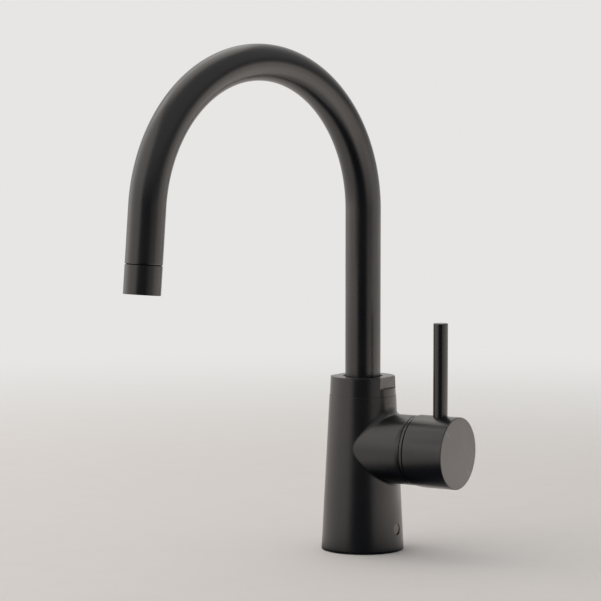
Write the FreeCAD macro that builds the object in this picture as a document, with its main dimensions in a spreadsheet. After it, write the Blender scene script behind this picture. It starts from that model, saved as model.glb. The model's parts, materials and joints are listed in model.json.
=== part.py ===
import FreeCAD, Part
import math
import os
import re
import Sketcher

# Gooseneck bar faucet with a side lever. Millimetres, +Z up, origin at the centre of the base's
# underside. +X points out of the handle branch, -Y towards the user. The spout is stored turned by
# spout_heading about +Z, as it stands in use; the lever stands upright, with the water shut off.

SIZES = {
    # conical body casting
    "base_diameter": 51.5, "shoulder_diameter": 41.6, "body_height": 97.0, "base_bevel": 0.6,
    "seam_chamfer": 0.35, "neck_diameter": 32.0, "neck_length": 6.0,
    "cavity_wall": 6.75, "cavity_height": 34.0,
    "handle_drop": 32.5, "branch_inset": 0.8585, "branch_length": 38.0,
    "branch_fillet_top": 4.5, "branch_fillet_bottom": 1.8,
    # waterways
    "seat_distance": 8.5, "inlet_setback": -1.0, "inlet_spread": 7.0, "inlet_rise": 6.0,
    "inlet_bore": 6.0, "hose_thread_bore": 9.0, "hose_thread_length": 12.0,
    "outlet_drop": 8.0, "outlet_bore": 5.6, "riser_setback": -7.5, "riser_bore": 7.6,
    # base insert, its studs, seal, clamping screw and plug
    "insert_height": 22.0, "insert_wall": 7.0, "insert_flange_thickness": 5.0, "stud_bore": 5.0,
    "base_rim": 2.05, "base_seal_width": 2.2, "base_seal_thickness": 2.0,
    "screw_height": 14.0, "screw_diameter": 5.0, "screw_key": 2.5, "screw_bite": 2.1,
    "plug_diameter": 7.0, "plug_thickness": 1.75, "plug_gap": 0.05, "plug_recess": 0.64,
    # spout collar, root and slide rings
    "collar_foot_diameter": 41.2, "collar_top_diameter": 40.1, "collar_height": 11.85,
    "collar_roof": 1.85, "collar_opening": 24.6, "flat_width": 36.0, "flat_height": 7.2,
    "socket_diameter": 23.0, "socket_depth": 16.0, "root_lift": 1.5, "root_bore": 15.0,
    "root_flange_diameter": 30.0, "root_flange_thickness": 2.0, "root_spigot_length": 10.0,
    "slide_ring_thickness": 1.0, "slide_ring_diameter": 31.0, "slide_ring_lip": 24.2,
    "slide_ring_lip_height": 1.5, "ring_section": 1.8, "ring_groove_width": 2.3,
    "lower_seal_rise": 5.2, "upper_seal_rise": 10.2,
    # gooseneck tube
    "tube_diameter": 22.0, "tube_bore": 19.6, "riser_length": 103.35, "bend_radius": 90.7,
    "bend_angle": 175.03, "leg_length": 51.0, "spout_heading": -102.1,
    # aerator
    "aerator_length": 17.5, "aerator_lip": 1.2, "aerator_lip_bore": 17.8,
    "aerator_bore": 18.6, "aerator_thread_bore": 19.2, "aerator_core_height": 8.4,
    "aerator_core_clearance": 0.05, "washer_thickness": 1.0, "washer_bore": 15.6,
    "screen_thickness": 0.4, "screen_ledge": 0.8, "screen_diameter": 16.8,
    "jet_bore": 1.6, "jet_circle": 9.0, "jet_plate": 4.0,
    "tip_insert_bore": 16.0, "tip_insert_depth": 9.5,
    # mixing cartridge, stacked outwards from its seat
    "cartridge_diameter": 35.0, "cartridge_clearance": 0.25, "base_flange": 2.0,
    "base_core": 4.0, "shell_bore": 32.6, "core_clearance": 0.1, "disc_clearance": 0.3,
    "port_bore": 6.0, "port_seal_diameter": 9.2, "port_seal_thickness": 1.5,
    "peg_diameter": 2.8, "peg_length": 3.0, "peg_spread": 12.0, "peg_drop": 5.0,
    "peg_clearance": 0.05, "disc_thickness": 4.0, "moving_disc_diameter": 26.0,
    "moving_disc_drop": 1.5, "mixing_channel": 16.0, "mixing_channel_drop": 3.4,
    "mixing_channel_depth": 2.2, "carrier_thickness": 3.0, "carrier_socket_height": 8.4,
    "carrier_socket_width": 6.4, "rotor_flange": 3.0, "shell_roof": 2.5, "hub_diameter": 24.0,
    "hub_height": 7.0, "hub_slot_height": 14.0, "pivot_offset": 2.5, "pivot_diameter": 3.0,
    "pivot_length": 21.6, "stem_width": 8.0, "stem_clearance": 0.05, "foot_width": 6.0,
    "foot_reach": 7.4, "foot_length": 3.8, "running_clearance": 0.05,
    # cartridge nut and cover ring
    "nut_diameter": 36.8, "nut_thread_clearance": 0.1, "nut_bore": 29.6, "nut_projection": 4.0,
    "nut_neck_diameter": 35.0, "nut_slots": 6, "nut_slot_width": 4.0, "nut_slot_depth": 2.0,
    "cover_ring_width": 2.2, "skirt_diameter": 38.6, "skirt_length": 3.6,
    # handle cap, lever pin and its clamping screw
    "cap_gap": 0.9, "cap_diameter": 44.6, "cap_length": 27.05, "cap_bore": 39.8,
    "cap_relief": 42.8, "cap_relief_depth": 3.9, "cap_end_wall": 4.15, "cap_edge": 0.3,
    "bevel_length": 8.4, "bevel_depth": 2.76, "stem_boss_diameter": 15.0,
    "stem_boss_length": 17.0, "stem_gap": 3.0, "pin_setback": 8.5, "pin_diameter": 9.0,
    "pin_rise": 57.2, "pin_sink": 3.3, "pin_spigot_diameter": 6.0, "pin_spigot_length": 7.5,
    "pin_boss_diameter": 13.0, "pin_edge": 0.4, "lever_screw_setback": 5.5,
    "lever_screw_boss": 10.0, "lever_screw_length": 6.0,
}

FRAMES = {
    # local Z is the faucet's own axis
    "column": "placement(vector(0; 0; 0); rotation(0; 0; 0))",
    # local Z runs outwards along the branch from the column's axis, local X points down
    "handle": "placement(vector(0; 0; handle_height); rotation(0; 90; 0))",
    # local X points along the spout
    "spout": "placement(vector(0; 0; 0); rotation(spout_heading; 0; 0))",
    # local Z runs from the outlet back up the spout's straight end
    "tip": "placement(vector(tip_reach * cos(spout_heading); tip_reach * sin(spout_heading);"
           " tip_height); rotation(spout_heading; bend_angle - 180; 0))",
}

# Distances along the faucet's axis
NECK_TOP = "(body_height + neck_length)"
FLANGE_BASE = f"({NECK_TOP} + slide_ring_thickness)"
FLANGE_TOP = f"({FLANGE_BASE} + root_flange_thickness)"
COLLAR_TOP = "(body_height + collar_height)"

# Distances from the faucet's axis along the base's clamping screw
SCREW_TIP = "(cavity_diameter / 2 - screw_bite)"
PLUG_TOP = "(base_diameter / 2 - cone_slope * screw_height - plug_recess)"
PLUG_FLOOR = f"({PLUG_TOP} - plug_thickness)"
SCREW_LENGTH = f"({PLUG_FLOOR} - plug_gap - {SCREW_TIP})"

# Distances along the handle's axis, from the column's axis outwards
SHELL_FOOT = "(seat_distance + base_flange)"
BASE_TOP = f"({SHELL_FOOT} + base_core)"
FIXED_TOP = f"({BASE_TOP} + disc_thickness)"
MOVING_TOP = f"({FIXED_TOP} + disc_thickness)"
CARRIER_TOP = f"({MOVING_TOP} + carrier_thickness)"
ROTOR_TOP = f"({CARRIER_TOP} + rotor_flange)"
SHELL_TOP = f"({ROTOR_TOP} + shell_roof)"
PIVOT = f"({ROTOR_TOP} + pivot_offset)"
NUT_TOP = "(branch_length + nut_projection)"
RING_TOP = "(branch_length + cover_ring_width)"
CAP_START = f"({RING_TOP} + cap_gap)"
CAP_END = f"({CAP_START} + cap_length)"
CAP_FLOOR = f"({CAP_END} - cap_end_wall)"

# Sizes and places that follow from the ones above, written to the sheet as formulas
DERIVED = {
    "handle_height": "body_height - handle_drop",
    "cavity_diameter": "base_diameter - 2 * cavity_wall",
    "insert_bore": "cavity_diameter - 2 * insert_wall",
    "insert_flange_diameter": "base_diameter - 2 * (base_rim + base_seal_width)",
    "stud_spacing": "(insert_bore + cavity_diameter) / 2",
    "cone_slope": "(base_diameter - shoulder_diameter) / body_height / 2",
    "branch_diameter": "base_diameter - 2 * (cone_slope * handle_height + branch_inset)",
    "stem_boss_start": f"{CAP_FLOOR} - stem_boss_length",
    "stem_end": f"{CAP_FLOOR} - stem_gap",
    "pin_distance": f"{CAP_FLOOR} - pin_setback",
    "lever_screw_distance": f"{CAP_FLOOR} - lever_screw_setback",
    "socket_floor": "body_height + neck_length - socket_depth",
    "lower_seal_height": "socket_floor + lower_seal_rise",
    "upper_seal_height": "socket_floor + upper_seal_rise",
    "pin_top": "handle_height + cap_diameter / 2 + pin_rise",
    "bend_start": "body_height + collar_height + riser_length",
    "tip_reach": "bend_radius * (1 - cos(bend_angle)) + leg_length * sin(bend_angle)",
    "tip_height": "bend_start + bend_radius * sin(bend_angle) + leg_length * cos(bend_angle)",
}

ALONG = {"Z": (0, 0, 0), "X": (0, 90, 0), "Y": (0, 0, -90)}

doc = FreeCAD.newDocument("gooseneck_bar_faucet")
nodes = []


def bound(text):
    """The expression with each size's name turned into its cell in the sheet."""
    names = set(SIZES) | set(DERIVED)
    return re.sub(r"[a-z][a-z_]*", lambda m: "dims." + m[0] if m[0] in names else m[0], text)


def make_sheet():
    sheet = doc.addObject("Spreadsheet::Sheet", "dims")
    for row, (alias, value) in enumerate(SIZES.items(), start=1):
        sheet.set(f"A{row}", alias)
        sheet.set(f"B{row}", str(value))
        sheet.setAlias(f"B{row}", alias)
    for row, (alias, formula) in enumerate(DERIVED.items(), start=len(SIZES) + 1):
        sheet.set(f"A{row}", alias)
        sheet.set(f"B{row}", "=" + formula)
        sheet.setAlias(f"B{row}", alias)
    doc.recompute()


def plane(body, role):
    return next(f for f in body.Origin.OriginFeatures if f.Role == role)


def new_sketch(body, name, role):
    sketch = body.newObject("Sketcher::SketchObject", name)
    sketch.AttachmentSupport = [(plane(body, role), "")]
    sketch.MapMode = "FlatFace"
    return sketch


def fix_point(sketch, geometry, point, across=None, up=None):
    """Ties a point's coordinates to expressions."""
    for kind, text in (("DistanceX", across), ("DistanceY", up)):
        if text is None:
            continue
        drawn = sketch.getPoint(geometry, point)
        start = drawn.x if kind == "DistanceX" else drawn.y
        index = sketch.addConstraint(Sketcher.Constraint(kind, -1, 1, geometry, point, start))
        sketch.setExpression(f"Constraints[{index}]", bound(text))


def draw_loop(sketch, corners):
    """A closed outline of straight lines; corners are (across, up) expressions."""
    count = len(corners)
    drawn = [FreeCAD.Vector(sketch.evalExpression(bound(across)),
                            sketch.evalExpression(bound(up)), 0) for across, up in corners]
    for i in range(count):
        sketch.addGeometry(Part.LineSegment(drawn[i], drawn[(i + 1) % count]))
    for i in range(count):
        sketch.addConstraint(Sketcher.Constraint("Coincident", i, 2, (i + 1) % count, 1))
    for i, (across, up) in enumerate(corners):
        fix_point(sketch, i, 1, across, up)


def turned(name, corners):
    """A body turned about its local Z; corners are (radius, height) expressions."""
    body = doc.addObject("PartDesign::Body", name)
    sketch = new_sketch(body, name + "_profile", "XZ_Plane")
    draw_loop(sketch, corners)
    turn = body.newObject("PartDesign::Revolution", name + "_turned")
    turn.Profile = sketch
    turn.ReferenceAxis = (sketch, ["V_Axis"])
    turn.Angle = 360
    return body


def ring(name, bore, outside, low, high):
    """A plain ring from its two diameters and two heights."""
    inner, outer = f"({bore}) / 2", f"({outside}) / 2"
    return turned(name, [(inner, low), (outer, low), (outer, high), (inner, high)])


def place(shape, base, along="Z"):
    shape.Placement = FreeCAD.Placement(FreeCAD.Vector(), FreeCAD.Rotation(*ALONG[along]))
    for letter, text in zip("xyz", base):
        shape.setExpression(f"Placement.Base.{letter}", bound(text))
    return shape


def cylinder(name, diameter, length, base=("0", "0", "0"), along="Z"):
    shape = doc.addObject("Part::Cylinder", name)
    shape.setExpression("Radius", bound(f"({diameter}) / 2"))
    shape.setExpression("Height", bound(length))
    return place(shape, base, along)


def block(name, size, base):
    """A box centred on base in X and Y, standing on it in Z."""
    shape = doc.addObject("Part::Box", name)
    for side, text in zip(("Length", "Width", "Height"), size):
        shape.setExpression(side, bound(text))
    across, deep, low = base
    return place(shape, (f"{across} - ({size[0]}) / 2", f"{deep} - ({size[1]}) / 2", low))


def hex_key(name, width, depth, base, along="Z"):
    shape = doc.addObject("Part::Prism", name)
    shape.Polygon = 6
    shape.setExpression("Circumradius", bound(f"({width}) / sqrt(3)"))
    shape.setExpression("Height", bound(depth))
    return place(shape, base, along)


def fuse(name, shapes):
    joined = doc.addObject("Part::MultiFuse", name)
    joined.Shapes = shapes
    joined.Refine = True
    return joined


def cut(name, base, tools):
    result = doc.addObject("Part::Cut", name)
    result.Base = base
    result.Tool = tools[0] if len(tools) == 1 else fuse(name + "_tools", tools)
    return result


def node(label, shape, frame):
    """Names a finished piece and sets it in its place on the faucet."""
    shape.Label = label
    shape.setExpression("Placement", bound(FRAMES[frame]))
    nodes.append(shape)


# ---------------------------------------------------------------- body casting

def column():
    """The cone from the deck to the shoulder, with the collar's threaded neck on top."""
    return turned("column", [
        ("0", "0"), ("base_diameter / 2 - base_bevel", "0"),
        ("base_diameter / 2 - base_bevel * cone_slope", "base_bevel"),
        ("shoulder_diameter / 2 + seam_chamfer * cone_slope", "body_height - seam_chamfer"),
        ("shoulder_diameter / 2 - seam_chamfer", "body_height"),
        ("neck_diameter / 2", "body_height"), ("neck_diameter / 2", NECK_TOP), ("0", NECK_TOP)])


def branch():
    """The round arm that houses the cartridge, from the column's axis out."""
    arm = turned("branch", [
        ("0", "0"), ("branch_diameter / 2", "0"),
        ("branch_diameter / 2", "branch_length - seam_chamfer"),
        ("branch_diameter / 2 - seam_chamfer", "branch_length"), ("0", "branch_length")])
    arm.setExpression("Placement", bound(FRAMES["handle"]))
    return arm


def blend(casting):
    """Rounds the curve where the arm meets the cone, wide on top and tight below."""
    doc.recompute()
    top, bottom = SIZES["branch_fillet_top"], SIZES["branch_fillet_bottom"]
    rounds = []
    for index, edge in enumerate(casting.Shape.Edges, start=1):
        if edge.Curve.TypeId == "Part::GeomBSplineCurve":
            rises = edge.valueAt(edge.LastParameter).z > edge.valueAt(edge.FirstParameter).z
            rounds.append((index, bottom, top) if rises else (index, top, bottom))
    rounded = doc.addObject("Part::Fillet", "blended_casting")
    rounded.Base = casting
    rounded.Edges = rounds
    return rounded


def side_word(sign):
    return "left" if sign == "-" else "right"


def hot_and_cold_tools():
    """Each inlet: a hose thread in the cavity's roof, a riser, and a port out to the seat."""
    tools = []
    for sign in ("", "-"):
        side = side_word(sign)
        spot = ("inlet_setback", f"{sign}inlet_spread")
        tools += [
            cylinder(f"hose_thread_{side}", "hose_thread_bore", "hose_thread_length",
                     (*spot, "cavity_height")),
            cylinder(f"inlet_riser_{side}", "inlet_bore",
                     "handle_height + inlet_rise + inlet_bore / 2 - cavity_height",
                     (*spot, "cavity_height")),
            cylinder(f"inlet_port_{side}", "inlet_bore", "seat_distance - inlet_setback",
                     (*spot, "handle_height + inlet_rise"), "X"),
            cylinder(f"peg_hole_{side}", "peg_diameter + 2 * peg_clearance",
                     "peg_length + peg_clearance",
                     ("seat_distance - peg_length - peg_clearance", f"{sign}peg_spread",
                      "handle_height - peg_drop"), "X")]
    return tools


def outlet_tools():
    """The mixed water's port, and its riser to the spout's socket."""
    low = "(handle_height - outlet_drop)"
    return [
        cylinder("outlet_port", "outlet_bore", "seat_distance - riser_setback",
                 ("riser_setback", "0", low), "X"),
        cylinder("outlet_riser", "riser_bore", f"socket_floor - {low} + outlet_bore / 2",
                 ("riser_setback", "0", f"{low} - outlet_bore / 2")),
        cylinder("spout_socket", "socket_diameter", f"{NECK_TOP} - socket_floor",
                 ("0", "0", "socket_floor"))]


def cartridge_bore_tools():
    thread = "nut_diameter + 2 * nut_thread_clearance"
    return [
        cylinder("cartridge_bore", "cartridge_diameter + 2 * cartridge_clearance",
                 "branch_length - seat_distance", ("seat_distance", "0", "handle_height"), "X"),
        cylinder("nut_thread", thread, f"branch_length - {SHELL_TOP} + seam_chamfer",
                 (f"{SHELL_TOP} - seam_chamfer", "0", "handle_height"), "X")]


def underside_tools():
    """The hollow foot with its recesses, and the clamping screw's hole towards the handle."""
    counterbore = "(plug_diameter + 2 * plug_gap)"
    return [
        cylinder("cavity", "cavity_diameter", "cavity_height"),
        cylinder("insert_recess", "insert_flange_diameter", "insert_flange_thickness"),
        cylinder("seal_recess", "insert_flange_diameter + 2 * base_seal_width",
                 "base_seal_thickness"),
        cylinder("screw_hole", "screw_diameter", PLUG_FLOOR, ("0", "0", "screw_height"), "X"),
        cylinder("plug_counterbore", counterbore, "base_diameter / 2",
                 (PLUG_FLOOR, "0", "screw_height"), "X")]


def faucet_body():
    casting = blend(fuse("casting", [column(), branch()]))
    tools = underside_tools() + hot_and_cold_tools() + outlet_tools() + cartridge_bore_tools()
    node("faucet_body", cut("machined_casting", casting, tools), "column")


# ---------------------------------------------------------------- base

def base_insert():
    """Stays on the deck: studs pull it down, and the body clamps onto it."""
    blank = turned("insert_blank", [
        ("insert_bore / 2", "0"), ("insert_flange_diameter / 2", "0"),
        ("insert_flange_diameter / 2", "insert_flange_thickness"),
        ("cavity_diameter / 2", "insert_flange_thickness"),
        ("cavity_diameter / 2", "insert_height"), ("insert_bore / 2", "insert_height")])
    tools = [cylinder(f"stud_hole_{side_word(sign)}", "stud_bore", "insert_height",
                      ("0", f"{sign}stud_spacing / 2", "0")) for sign in ("", "-")]
    tools.append(cylinder("screw_dimple", "screw_diameter", "screw_bite",
                          (SCREW_TIP, "0", "screw_height"), "X"))
    node("base_insert", cut("drilled_insert", blank, tools), "column")


def base_seal():
    node("base_seal", ring("seal", "insert_flange_diameter",
                           "insert_flange_diameter + 2 * base_seal_width", "0",
                           "base_seal_thickness"), "column")


def base_screw():
    blank = cylinder("base_screw_blank", "screw_diameter", SCREW_LENGTH,
                     (SCREW_TIP, "0", "screw_height"), "X")
    key = hex_key("base_screw_key", "screw_key", f"{SCREW_LENGTH} / 2",
                  (f"{SCREW_TIP} + {SCREW_LENGTH} / 2", "0", "screw_height"), "X")
    node("base_grub_screw", cut("keyed_base_screw", blank, [key]), "column")


def base_plug():
    plug = turned("plug", [
        ("0", PLUG_FLOOR), ("plug_diameter / 2", PLUG_FLOOR),
        ("plug_diameter / 2", f"{PLUG_TOP} - cap_edge"),
        ("plug_diameter / 2 - cap_edge", PLUG_TOP), ("0", PLUG_TOP)])
    plug.Label = "base_plug"
    plug.setExpression("Placement", bound(FRAMES["handle"].replace("handle_height",
                                                                   "screw_height")))
    nodes.append(plug)


# ---------------------------------------------------------------- spout's swivel

def spout_collar():
    """Screws down over the neck and traps the spout root's flange; two flats for a spanner."""
    taper = "(collar_top_diameter - collar_foot_diameter) / collar_height / 2"
    thread = "(neck_diameter / 2 + nut_thread_clearance)"
    blank = turned("collar_blank", [
        (thread, "body_height"), ("collar_foot_diameter / 2 - seam_chamfer", "body_height"),
        (f"collar_foot_diameter / 2 + seam_chamfer * {taper}", "body_height + seam_chamfer"),
        (f"collar_top_diameter / 2 - cap_edge * {taper}", f"{COLLAR_TOP} - cap_edge"),
        ("collar_top_diameter / 2 - cap_edge", COLLAR_TOP),
        ("collar_opening / 2", COLLAR_TOP), ("collar_opening / 2", f"{COLLAR_TOP} - collar_roof"),
        (thread, f"{COLLAR_TOP} - collar_roof")])
    size = ("collar_foot_diameter", "collar_foot_diameter", "flat_height")
    tools = [block(f"flat_{side_word(sign)}", size,
                   (f"{sign}(flat_width + collar_foot_diameter) / 2", "0",
                    f"{COLLAR_TOP} - flat_height")) for sign in ("", "-")]
    node("spout_collar", cut("flatted_collar", blank, tools), "column")


def slide_rings():
    """Plastic rings above and below the root's flange; the upper one shows as a lip."""
    node("lower_slide_ring", ring(
        "lower_ring", "socket_diameter", "slide_ring_diameter", NECK_TOP, FLANGE_BASE), "column")
    bore = "(tube_diameter / 2 + running_clearance)"
    top = f"({FLANGE_TOP} + slide_ring_thickness)"
    node("upper_slide_ring", turned("upper_ring", [
        (bore, FLANGE_TOP), ("slide_ring_diameter / 2", FLANGE_TOP),
        ("slide_ring_diameter / 2", top), ("slide_ring_lip / 2", top),
        ("slide_ring_lip / 2", f"{top} + slide_ring_lip_height"),
        (bore, f"{top} + slide_ring_lip_height")]), "column")


def spout_root():
    """The turned fitting brazed into the tube's foot; it turns in the body's socket."""
    outside = "(socket_diameter / 2 - running_clearance)"
    groove = f"({outside} - ring_section)"
    foot = "socket_floor + root_lift"
    profile = [("root_bore / 2", foot), (outside, foot)]
    for centre in ("lower_seal_height", "upper_seal_height"):
        low, high = f"{centre} - ring_groove_width / 2", f"{centre} + ring_groove_width / 2"
        profile += [(outside, low), (groove, low), (groove, high), (outside, high)]
    top = f"{FLANGE_TOP} + root_spigot_length"
    profile += [
        (outside, FLANGE_BASE), ("root_flange_diameter / 2", FLANGE_BASE),
        ("root_flange_diameter / 2", FLANGE_TOP), ("tube_bore / 2", FLANGE_TOP),
        ("tube_bore / 2", top), ("root_bore / 2", top)]
    node("spout_root", turned("root", profile), "spout")


def spout_seals():
    for label, height in (("lower_spout_seal", "lower_seal_height"),
                          ("upper_spout_seal", "upper_seal_height")):
        seal = doc.addObject("Part::Torus", label + "_ring")
        seal.setExpression("Radius1", bound("(socket_diameter - ring_section) / 2"
                                            " - running_clearance"))
        seal.setExpression("Radius2", bound("ring_section / 2"))
        seal.Label = label
        frame = FRAMES["spout"].replace("vector(0; 0; 0)", f"vector(0; 0; {height})")
        seal.setExpression("Placement", bound(frame))
        nodes.append(seal)


# ---------------------------------------------------------------- gooseneck and aerator

def spout_tube():
    """Straight riser, one round bend and a straight end, drawn as a pipe along its centreline."""
    body = doc.addObject("PartDesign::Body", "gooseneck")
    path = new_sketch(body, "centreline", "XZ_Plane")
    rise = path.evalExpression(bound("bend_start"))
    start = FreeCAD.Vector(0, rise, 0)
    centre = FreeCAD.Vector(SIZES["bend_radius"], rise, 0)
    turn = math.radians(180 - SIZES["bend_angle"])
    bend = Part.Circle(centre, FreeCAD.Vector(0, 0, 1), SIZES["bend_radius"])
    path.addGeometry(Part.LineSegment(FreeCAD.Vector(0, SIZES["body_height"], 0), start))
    path.addGeometry(Part.ArcOfCircle(bend, turn, math.pi))
    fall = FreeCAD.Vector(0, -SIZES["leg_length"], 0)
    path.addGeometry(Part.LineSegment(bend.value(turn), bend.value(turn) + fall))
    path.addConstraint(Sketcher.Constraint("Coincident", 0, 2, 1, 2))
    path.addConstraint(Sketcher.Constraint("Coincident", 1, 1, 2, 1))
    fix_point(path, 0, 1, "0", FLANGE_TOP)
    fix_point(path, 0, 2, "0", "bend_start")
    fix_point(path, 1, 3, "bend_radius", "bend_start")
    fix_point(path, 1, 1, up="bend_start + bend_radius * sin(bend_angle)")
    fix_point(path, 2, 2, "tip_reach - aerator_length * sin(bend_angle)",
              "tip_height - aerator_length * cos(bend_angle)")
    section = new_sketch(body, "tube_section", "XY_Plane")
    section.setExpression("AttachmentOffset.Base.z", bound(FLANGE_TOP))
    for index, alias in enumerate(("tube_diameter", "tube_bore")):
        section.addGeometry(Part.Circle(FreeCAD.Vector(), FreeCAD.Vector(0, 0, 1), SIZES[alias] / 2))
        section.addConstraint(Sketcher.Constraint("Coincident", index, 3, -1, 1))
        radius = section.addConstraint(Sketcher.Constraint("Diameter", index, SIZES[alias]))
        section.setExpression(f"Constraints[{radius}]", bound(alias))
    pipe = body.newObject("PartDesign::AdditivePipe", "bent_tube")
    pipe.Profile = section
    pipe.Spine = (path, ["Edge1", "Edge2", "Edge3"])
    node("spout_tube", body, "spout")


def tip_insert():
    """Brazed into the tube's end; the aerator's ring screws onto it."""
    thread = "aerator_thread_bore / 2 - running_clearance"
    low = "(aerator_lip + aerator_core_height + washer_thickness)"
    node("tip_insert", turned("threaded_insert", [
        ("tip_insert_bore / 2", low), (thread, low), (thread, "aerator_length"),
        ("tube_bore / 2", "aerator_length"),
        ("tube_bore / 2", "aerator_length + tip_insert_depth"),
        ("tip_insert_bore / 2", "aerator_length + tip_insert_depth")]), "tip")


def aerator_ring():
    core_top = "(aerator_lip + aerator_core_height)"
    node("aerator_ring", turned("aerator_shell", [
        ("aerator_lip_bore / 2", "0"), ("tube_diameter / 2 - seam_chamfer", "0"),
        ("tube_diameter / 2", "seam_chamfer"),
        ("tube_diameter / 2", "aerator_length - seam_chamfer"),
        ("tube_diameter / 2 - seam_chamfer", "aerator_length"),
        ("aerator_thread_bore / 2", "aerator_length"), ("aerator_thread_bore / 2", core_top),
        ("aerator_bore / 2", core_top), ("aerator_bore / 2", "aerator_lip"),
        ("aerator_lip_bore / 2", "aerator_lip")]), "tip")


def aerator_core():
    """The plastic cup with its plate of jets: one in the middle and two rings around it."""
    top = "(aerator_lip + aerator_core_height)"
    outside = "aerator_bore / 2 - aerator_core_clearance"
    ledge = "screen_diameter / 2"
    cup = turned("aerator_cup", [
        ("0", "aerator_lip"), (outside, "aerator_lip"), (outside, top), (ledge, top),
        (ledge, f"{top} - screen_ledge"), (f"{ledge} - screen_ledge", f"{top} - screen_ledge"),
        (f"{ledge} - screen_ledge", "aerator_lip + jet_plate"),
        ("0", "aerator_lip + jet_plate")])
    doc.recompute()
    for name, across, count in (("middle_jet", "0", 1), ("inner_jet", "jet_circle / 2", 6),
                                ("outer_jet", "jet_circle - jet_bore", 12)):
        jet = new_sketch(cup, name, "XY_Plane")
        jet.addGeometry(Part.Circle(FreeCAD.Vector(), FreeCAD.Vector(0, 0, 1), 1))
        fix_point(jet, 0, 3, across, "0")
        size = jet.addConstraint(Sketcher.Constraint("Diameter", 0, 1))
        jet.setExpression(f"Constraints[{size}]", bound("jet_bore"))
        hole = cup.newObject("PartDesign::Pocket", name + "_hole")
        hole.Profile = jet
        hole.Type = "ThroughAll"
        hole.Midplane = True
        if count > 1:
            pattern = cup.newObject("PartDesign::PolarPattern", name + "_pattern")
            pattern.Originals = [hole]
            pattern.Axis = (plane(cup, "Z_Axis"), [""])
            pattern.Angle = 360
            pattern.Occurrences = count
            cup.Tip = pattern
    node("aerator_core", cup, "tip")


def aerator_trim():
    """The steel screen on the cup's ledge and the rubber washer above it."""
    top = "(aerator_lip + aerator_core_height)"
    screen = cylinder("screen", "screen_diameter - 2 * aerator_core_clearance",
                      "screen_thickness", ("0", "0", f"{top} - screen_ledge"))
    node("aerator_screen", fuse("screen_disc", [screen, cylinder(
        "screen_hump", "washer_bore - screen_ledge", "screen_ledge",
        ("0", "0", f"{top} - screen_ledge"))]), "tip")
    node("aerator_washer", ring("washer", "washer_bore", "aerator_thread_bore -"
                                " 2 * running_clearance", top, f"{top} + washer_thickness"), "tip")


# ---------------------------------------------------------------- cartridge

PORTS = (("hot", "-inlet_rise", "inlet_spread"), ("cold", "-inlet_rise", "-inlet_spread"),
         ("mixed", "outlet_drop", "0"))


def port_holes(owner, low, length):
    return [cylinder(f"{owner}_{name}_port", "port_bore", length, (down, across, low))
            for name, down, across in PORTS]


def cartridge_base():
    """Sits on the body's seat, held from turning by two pegs."""
    blank = turned("base_blank", [
        ("0", "seat_distance"), ("cartridge_diameter / 2", "seat_distance"),
        ("cartridge_diameter / 2", SHELL_FOOT), ("shell_bore / 2 - core_clearance", SHELL_FOOT),
        ("shell_bore / 2 - core_clearance", BASE_TOP), ("0", BASE_TOP)])
    pegs = [cylinder(f"peg_{side_word(sign)}", "peg_diameter", "peg_length",
                     ("peg_drop", f"{sign}peg_spread", "seat_distance - peg_length"))
            for sign in ("", "-")]
    tools = port_holes("base", "seat_distance", "base_flange + base_core")
    tools += [cylinder(f"{name}_seal_recess", "port_seal_diameter", "port_seal_thickness",
                       (down, across, "seat_distance")) for name, down, across in PORTS]
    node("cartridge_base", cut("ported_base", fuse("pegged_base", [blank] + pegs), tools), "handle")


def port_seals():
    """Three rubber rings that close the ports against the seat."""
    rings = []
    for name, down, across in PORTS:
        spot = (down, across, "seat_distance")
        rings.append(cut(f"{name}_port_seal", cylinder(
            f"{name}_seal_disc", "port_seal_diameter", "port_seal_thickness", spot),
            [cylinder(f"{name}_seal_bore", "port_bore", "port_seal_thickness", spot)]))
    node("port_seals", fuse("three_port_seals", rings), "handle")


def ceramic_discs():
    blank = cylinder("fixed_blank", "shell_bore - 2 * disc_clearance", "disc_thickness",
                     ("0", "0", BASE_TOP))
    node("fixed_disc", cut("ported_disc", blank, port_holes("disc", BASE_TOP, "disc_thickness")),
         "handle")
    slider = cylinder("moving_blank", "moving_disc_diameter", "disc_thickness",
                      ("moving_disc_drop", "0", FIXED_TOP))
    channel = cylinder("mixing_channel_tool", "mixing_channel", "mixing_channel_depth",
                       ("mixing_channel_drop", "0", FIXED_TOP))
    node("moving_disc", cut("channelled_disc", slider, [channel]), "handle")


def disc_carrier():
    """Holds the moving disc and takes the stem's foot in its socket."""
    blank = cylinder("carrier_blank", "moving_disc_diameter", "carrier_thickness",
                     ("moving_disc_drop", "0", MOVING_TOP))
    socket = block("carrier_socket", ("carrier_socket_height", "carrier_socket_width",
                                      "carrier_thickness"), ("0", "0", MOVING_TOP))
    node("disc_carrier", cut("socketed_carrier", blank, [socket]), "handle")


def cartridge_shell():
    inner, outer = "shell_bore / 2", "cartridge_diameter / 2"
    opening = "(hub_diameter / 2 + running_clearance)"
    node("cartridge_shell", turned("shell", [
        (inner, SHELL_FOOT), (outer, SHELL_FOOT), (outer, SHELL_TOP), (opening, SHELL_TOP),
        (opening, ROTOR_TOP), (inner, ROTOR_TOP)]), "handle")


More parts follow.
